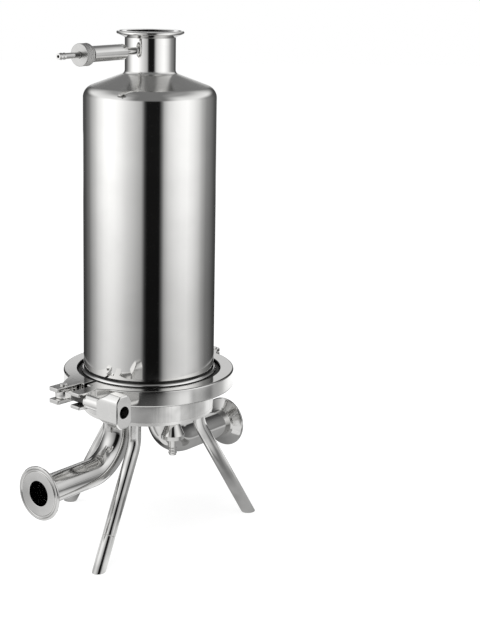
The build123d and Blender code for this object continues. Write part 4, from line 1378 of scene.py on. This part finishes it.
    def tent_material(self) -> Any:
        """Return the tent's light: glows round it that fade into each other with height."""
        made = bpy.data.materials.new("light_tent")
        make = Nodes.fresh(made)
        split = make.add("ShaderNodeSeparateXYZ", {"Vector": make.where()})
        across, height = split["X"], split["Z"]
        angle = make.math("ARCTAN2", across, make.math("MULTIPLY", split["Y"], -1.0))
        turn = make.math("MULTIPLY_ADD", angle, 1 / (2 * np.pi), 0.5)
        upper = self.glow(make, turn, self.left_glow + self.right_glow)
        lit = make.math("MULTIPLY", upper, make.spread(height, *self.rise))
        lit = make.mix(make.spread(height, *self.above_table),
                       self.glow(make, turn, self.table_glow), lit)
        lit = make.mix(make.spread(height, *self.even_table), lit, self.table_level)
        lit = make.mix(make.spread(height, *self.at_foot), lit,
                       self.glow(make, turn, self.foot_glow))
        panel = make.math("MULTIPLY", make.spread(split["Y"], *self.panel_depth),
                          make.spread(height, *self.panel_bottom))
        panel = make.math("MULTIPLY", panel, make.spread(height, *self.panel_top))
        back = make.mix(make.spread(height, *self.corner_bottom), self.panel_level,
                        make.spread(across, *self.corner_across))
        lit = make.mix(panel, lit, back)
        ceiling = make.spread(make.math("ABSOLUTE", across), *self.ceiling_half,
                              self.ceiling_level, make.spread(height, *self.eaves))
        lit = make.mix(make.spread(height, *self.under_ceiling), lit, ceiling)
        shine = make.add("ShaderNodeEmission", {"Strength": lit})[0]
        make.add("ShaderNodeOutputMaterial", {"Surface": shine})
        made.cycles.emission_sampling = "NONE"
        return made

    def glow(self, make: Nodes, turn: Any, stops: Ring) -> Any:
        """Add a ramp of brightness round the tent.

        Args:
            make: The tent's nodes.
            turn: Share of a turn, 0.5 towards the camera.
            stops: Angles in degrees and brightness there.

        Returns:
            The brightness.
        """
        band = make.tree.nodes.new("ShaderNodeValToRGB")
        make.tree.links.new(turn, band.inputs[0])
        elements = band.color_ramp.elements
        while len(elements) < len(stops):
            elements.new(0.5)
        for element, (azimuth, level) in zip(elements, stops):
            element.position = azimuth / 360 + 0.5
            element.color = (level, level, level, 1.0)
        return band.outputs[0]

    def floor(self) -> None:
        """Build the pale floor under the feet."""
        half = self.floor_half
        mesh = bpy.data.meshes.new("floor")
        corners = [(-half, -half, 0), (half, -half, 0), (half, half, 0), (-half, half, 0)]
        mesh.from_pydata(corners, [], [(0, 1, 2, 3)])
        made = bpy.data.materials.new("floor")
        make = Nodes.fresh(made)
        paper, shade = (make.add("ShaderNodeBsdfDiffuse", {"Color": (value, value, value, 1.0)})[0]
                        for value in (self.paper, self.paper_shade))
        shine = make.add("ShaderNodeEmission", {"Strength": self.paper_shine})[0]
        lit = make.add("ShaderNodeAddShader", {0: shade, 1: shine})[0]
        seen = make.add("ShaderNodeMixShader", {0: seen_directly(make), 1: paper, 2: lit})[0]
        make.add("ShaderNodeOutputMaterial", {"Surface": seen})
        mesh.materials.append(made)
        linked("floor", mesh)

    def world(self) -> None:
        """Light the studio evenly, with a white background behind the housing."""
        world = bpy.data.worlds.new("studio")
        make = Nodes.fresh(world)
        level = make.mix(seen_directly(make), self.sky, 1.0)
        sky = make.add("ShaderNodeBackground", {"Color": (1.0, 1.0, 1.0, 1.0),
                                                "Strength": level})[0]
        make.add("ShaderNodeOutputWorld", {"Surface": sky})
        bpy.context.scene.world = world

    def lamp(self) -> None:
        """Hang one broad lamp above the housing."""
        light = settled(bpy.data.lights.new("top_lamp", "AREA"), shape="DISK", size=self.lamp_size,
                        energy=self.lamp_power)
        aim = Vector(self.lamp_aim).to_track_quat("-Z", "Y").to_euler()
        settled(linked("top_lamp", light), location=self.lamp_place, rotation_euler=aim,
                visible_glossy=False)

    def camera(self) -> None:
        """Set the camera by its place, its turn to the right, its dip and its roll."""
        yaw, pitch, roll = np.radians((self.yaw, self.pitch, self.roll))
        ahead = np.array([np.sin(yaw) * np.cos(pitch), np.cos(yaw) * np.cos(pitch), -np.sin(pitch)])
        right = np.array([np.cos(yaw), -np.sin(yaw), 0.0])
        above = np.cross(right, ahead)
        columns = (np.cos(roll) * right + np.sin(roll) * above,
                   np.cos(roll) * above - np.sin(roll) * right, -ahead)
        lens = settled(bpy.data.cameras.new("camera"), lens=self.lens, sensor_width=self.sensor,
                       shift_y=self.shift_y, clip_start=0.01)
        camera = linked("camera", lens)
        turned = Matrix(np.array(columns).T.tolist()).to_4x4()
        camera.matrix_world = Matrix.Translation(self.place) @ turned
        bpy.context.scene.camera = camera


def main() -> None:
    """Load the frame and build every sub-assembly."""
    logging.basicConfig(level=logging.INFO, format="%(name)s: %(message)s")
    frame = Frame(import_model())
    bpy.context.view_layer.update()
    for build in (polish_haze_group, turning_marks_group, cast_grain_group, drawn_lines_group):
        build()
    for assembly in (Bell, Ports, Base, Clamp, VentValve, DrainValve):
        assembly(frame).build()
    Elastomer().dress(frame, "joint_gasket", "vent_ring", "drain_ring")
    Studio().build()
    bpy.context.scene.view_settings.view_transform = "Standard"


if __name__ == "__main__":
    main()
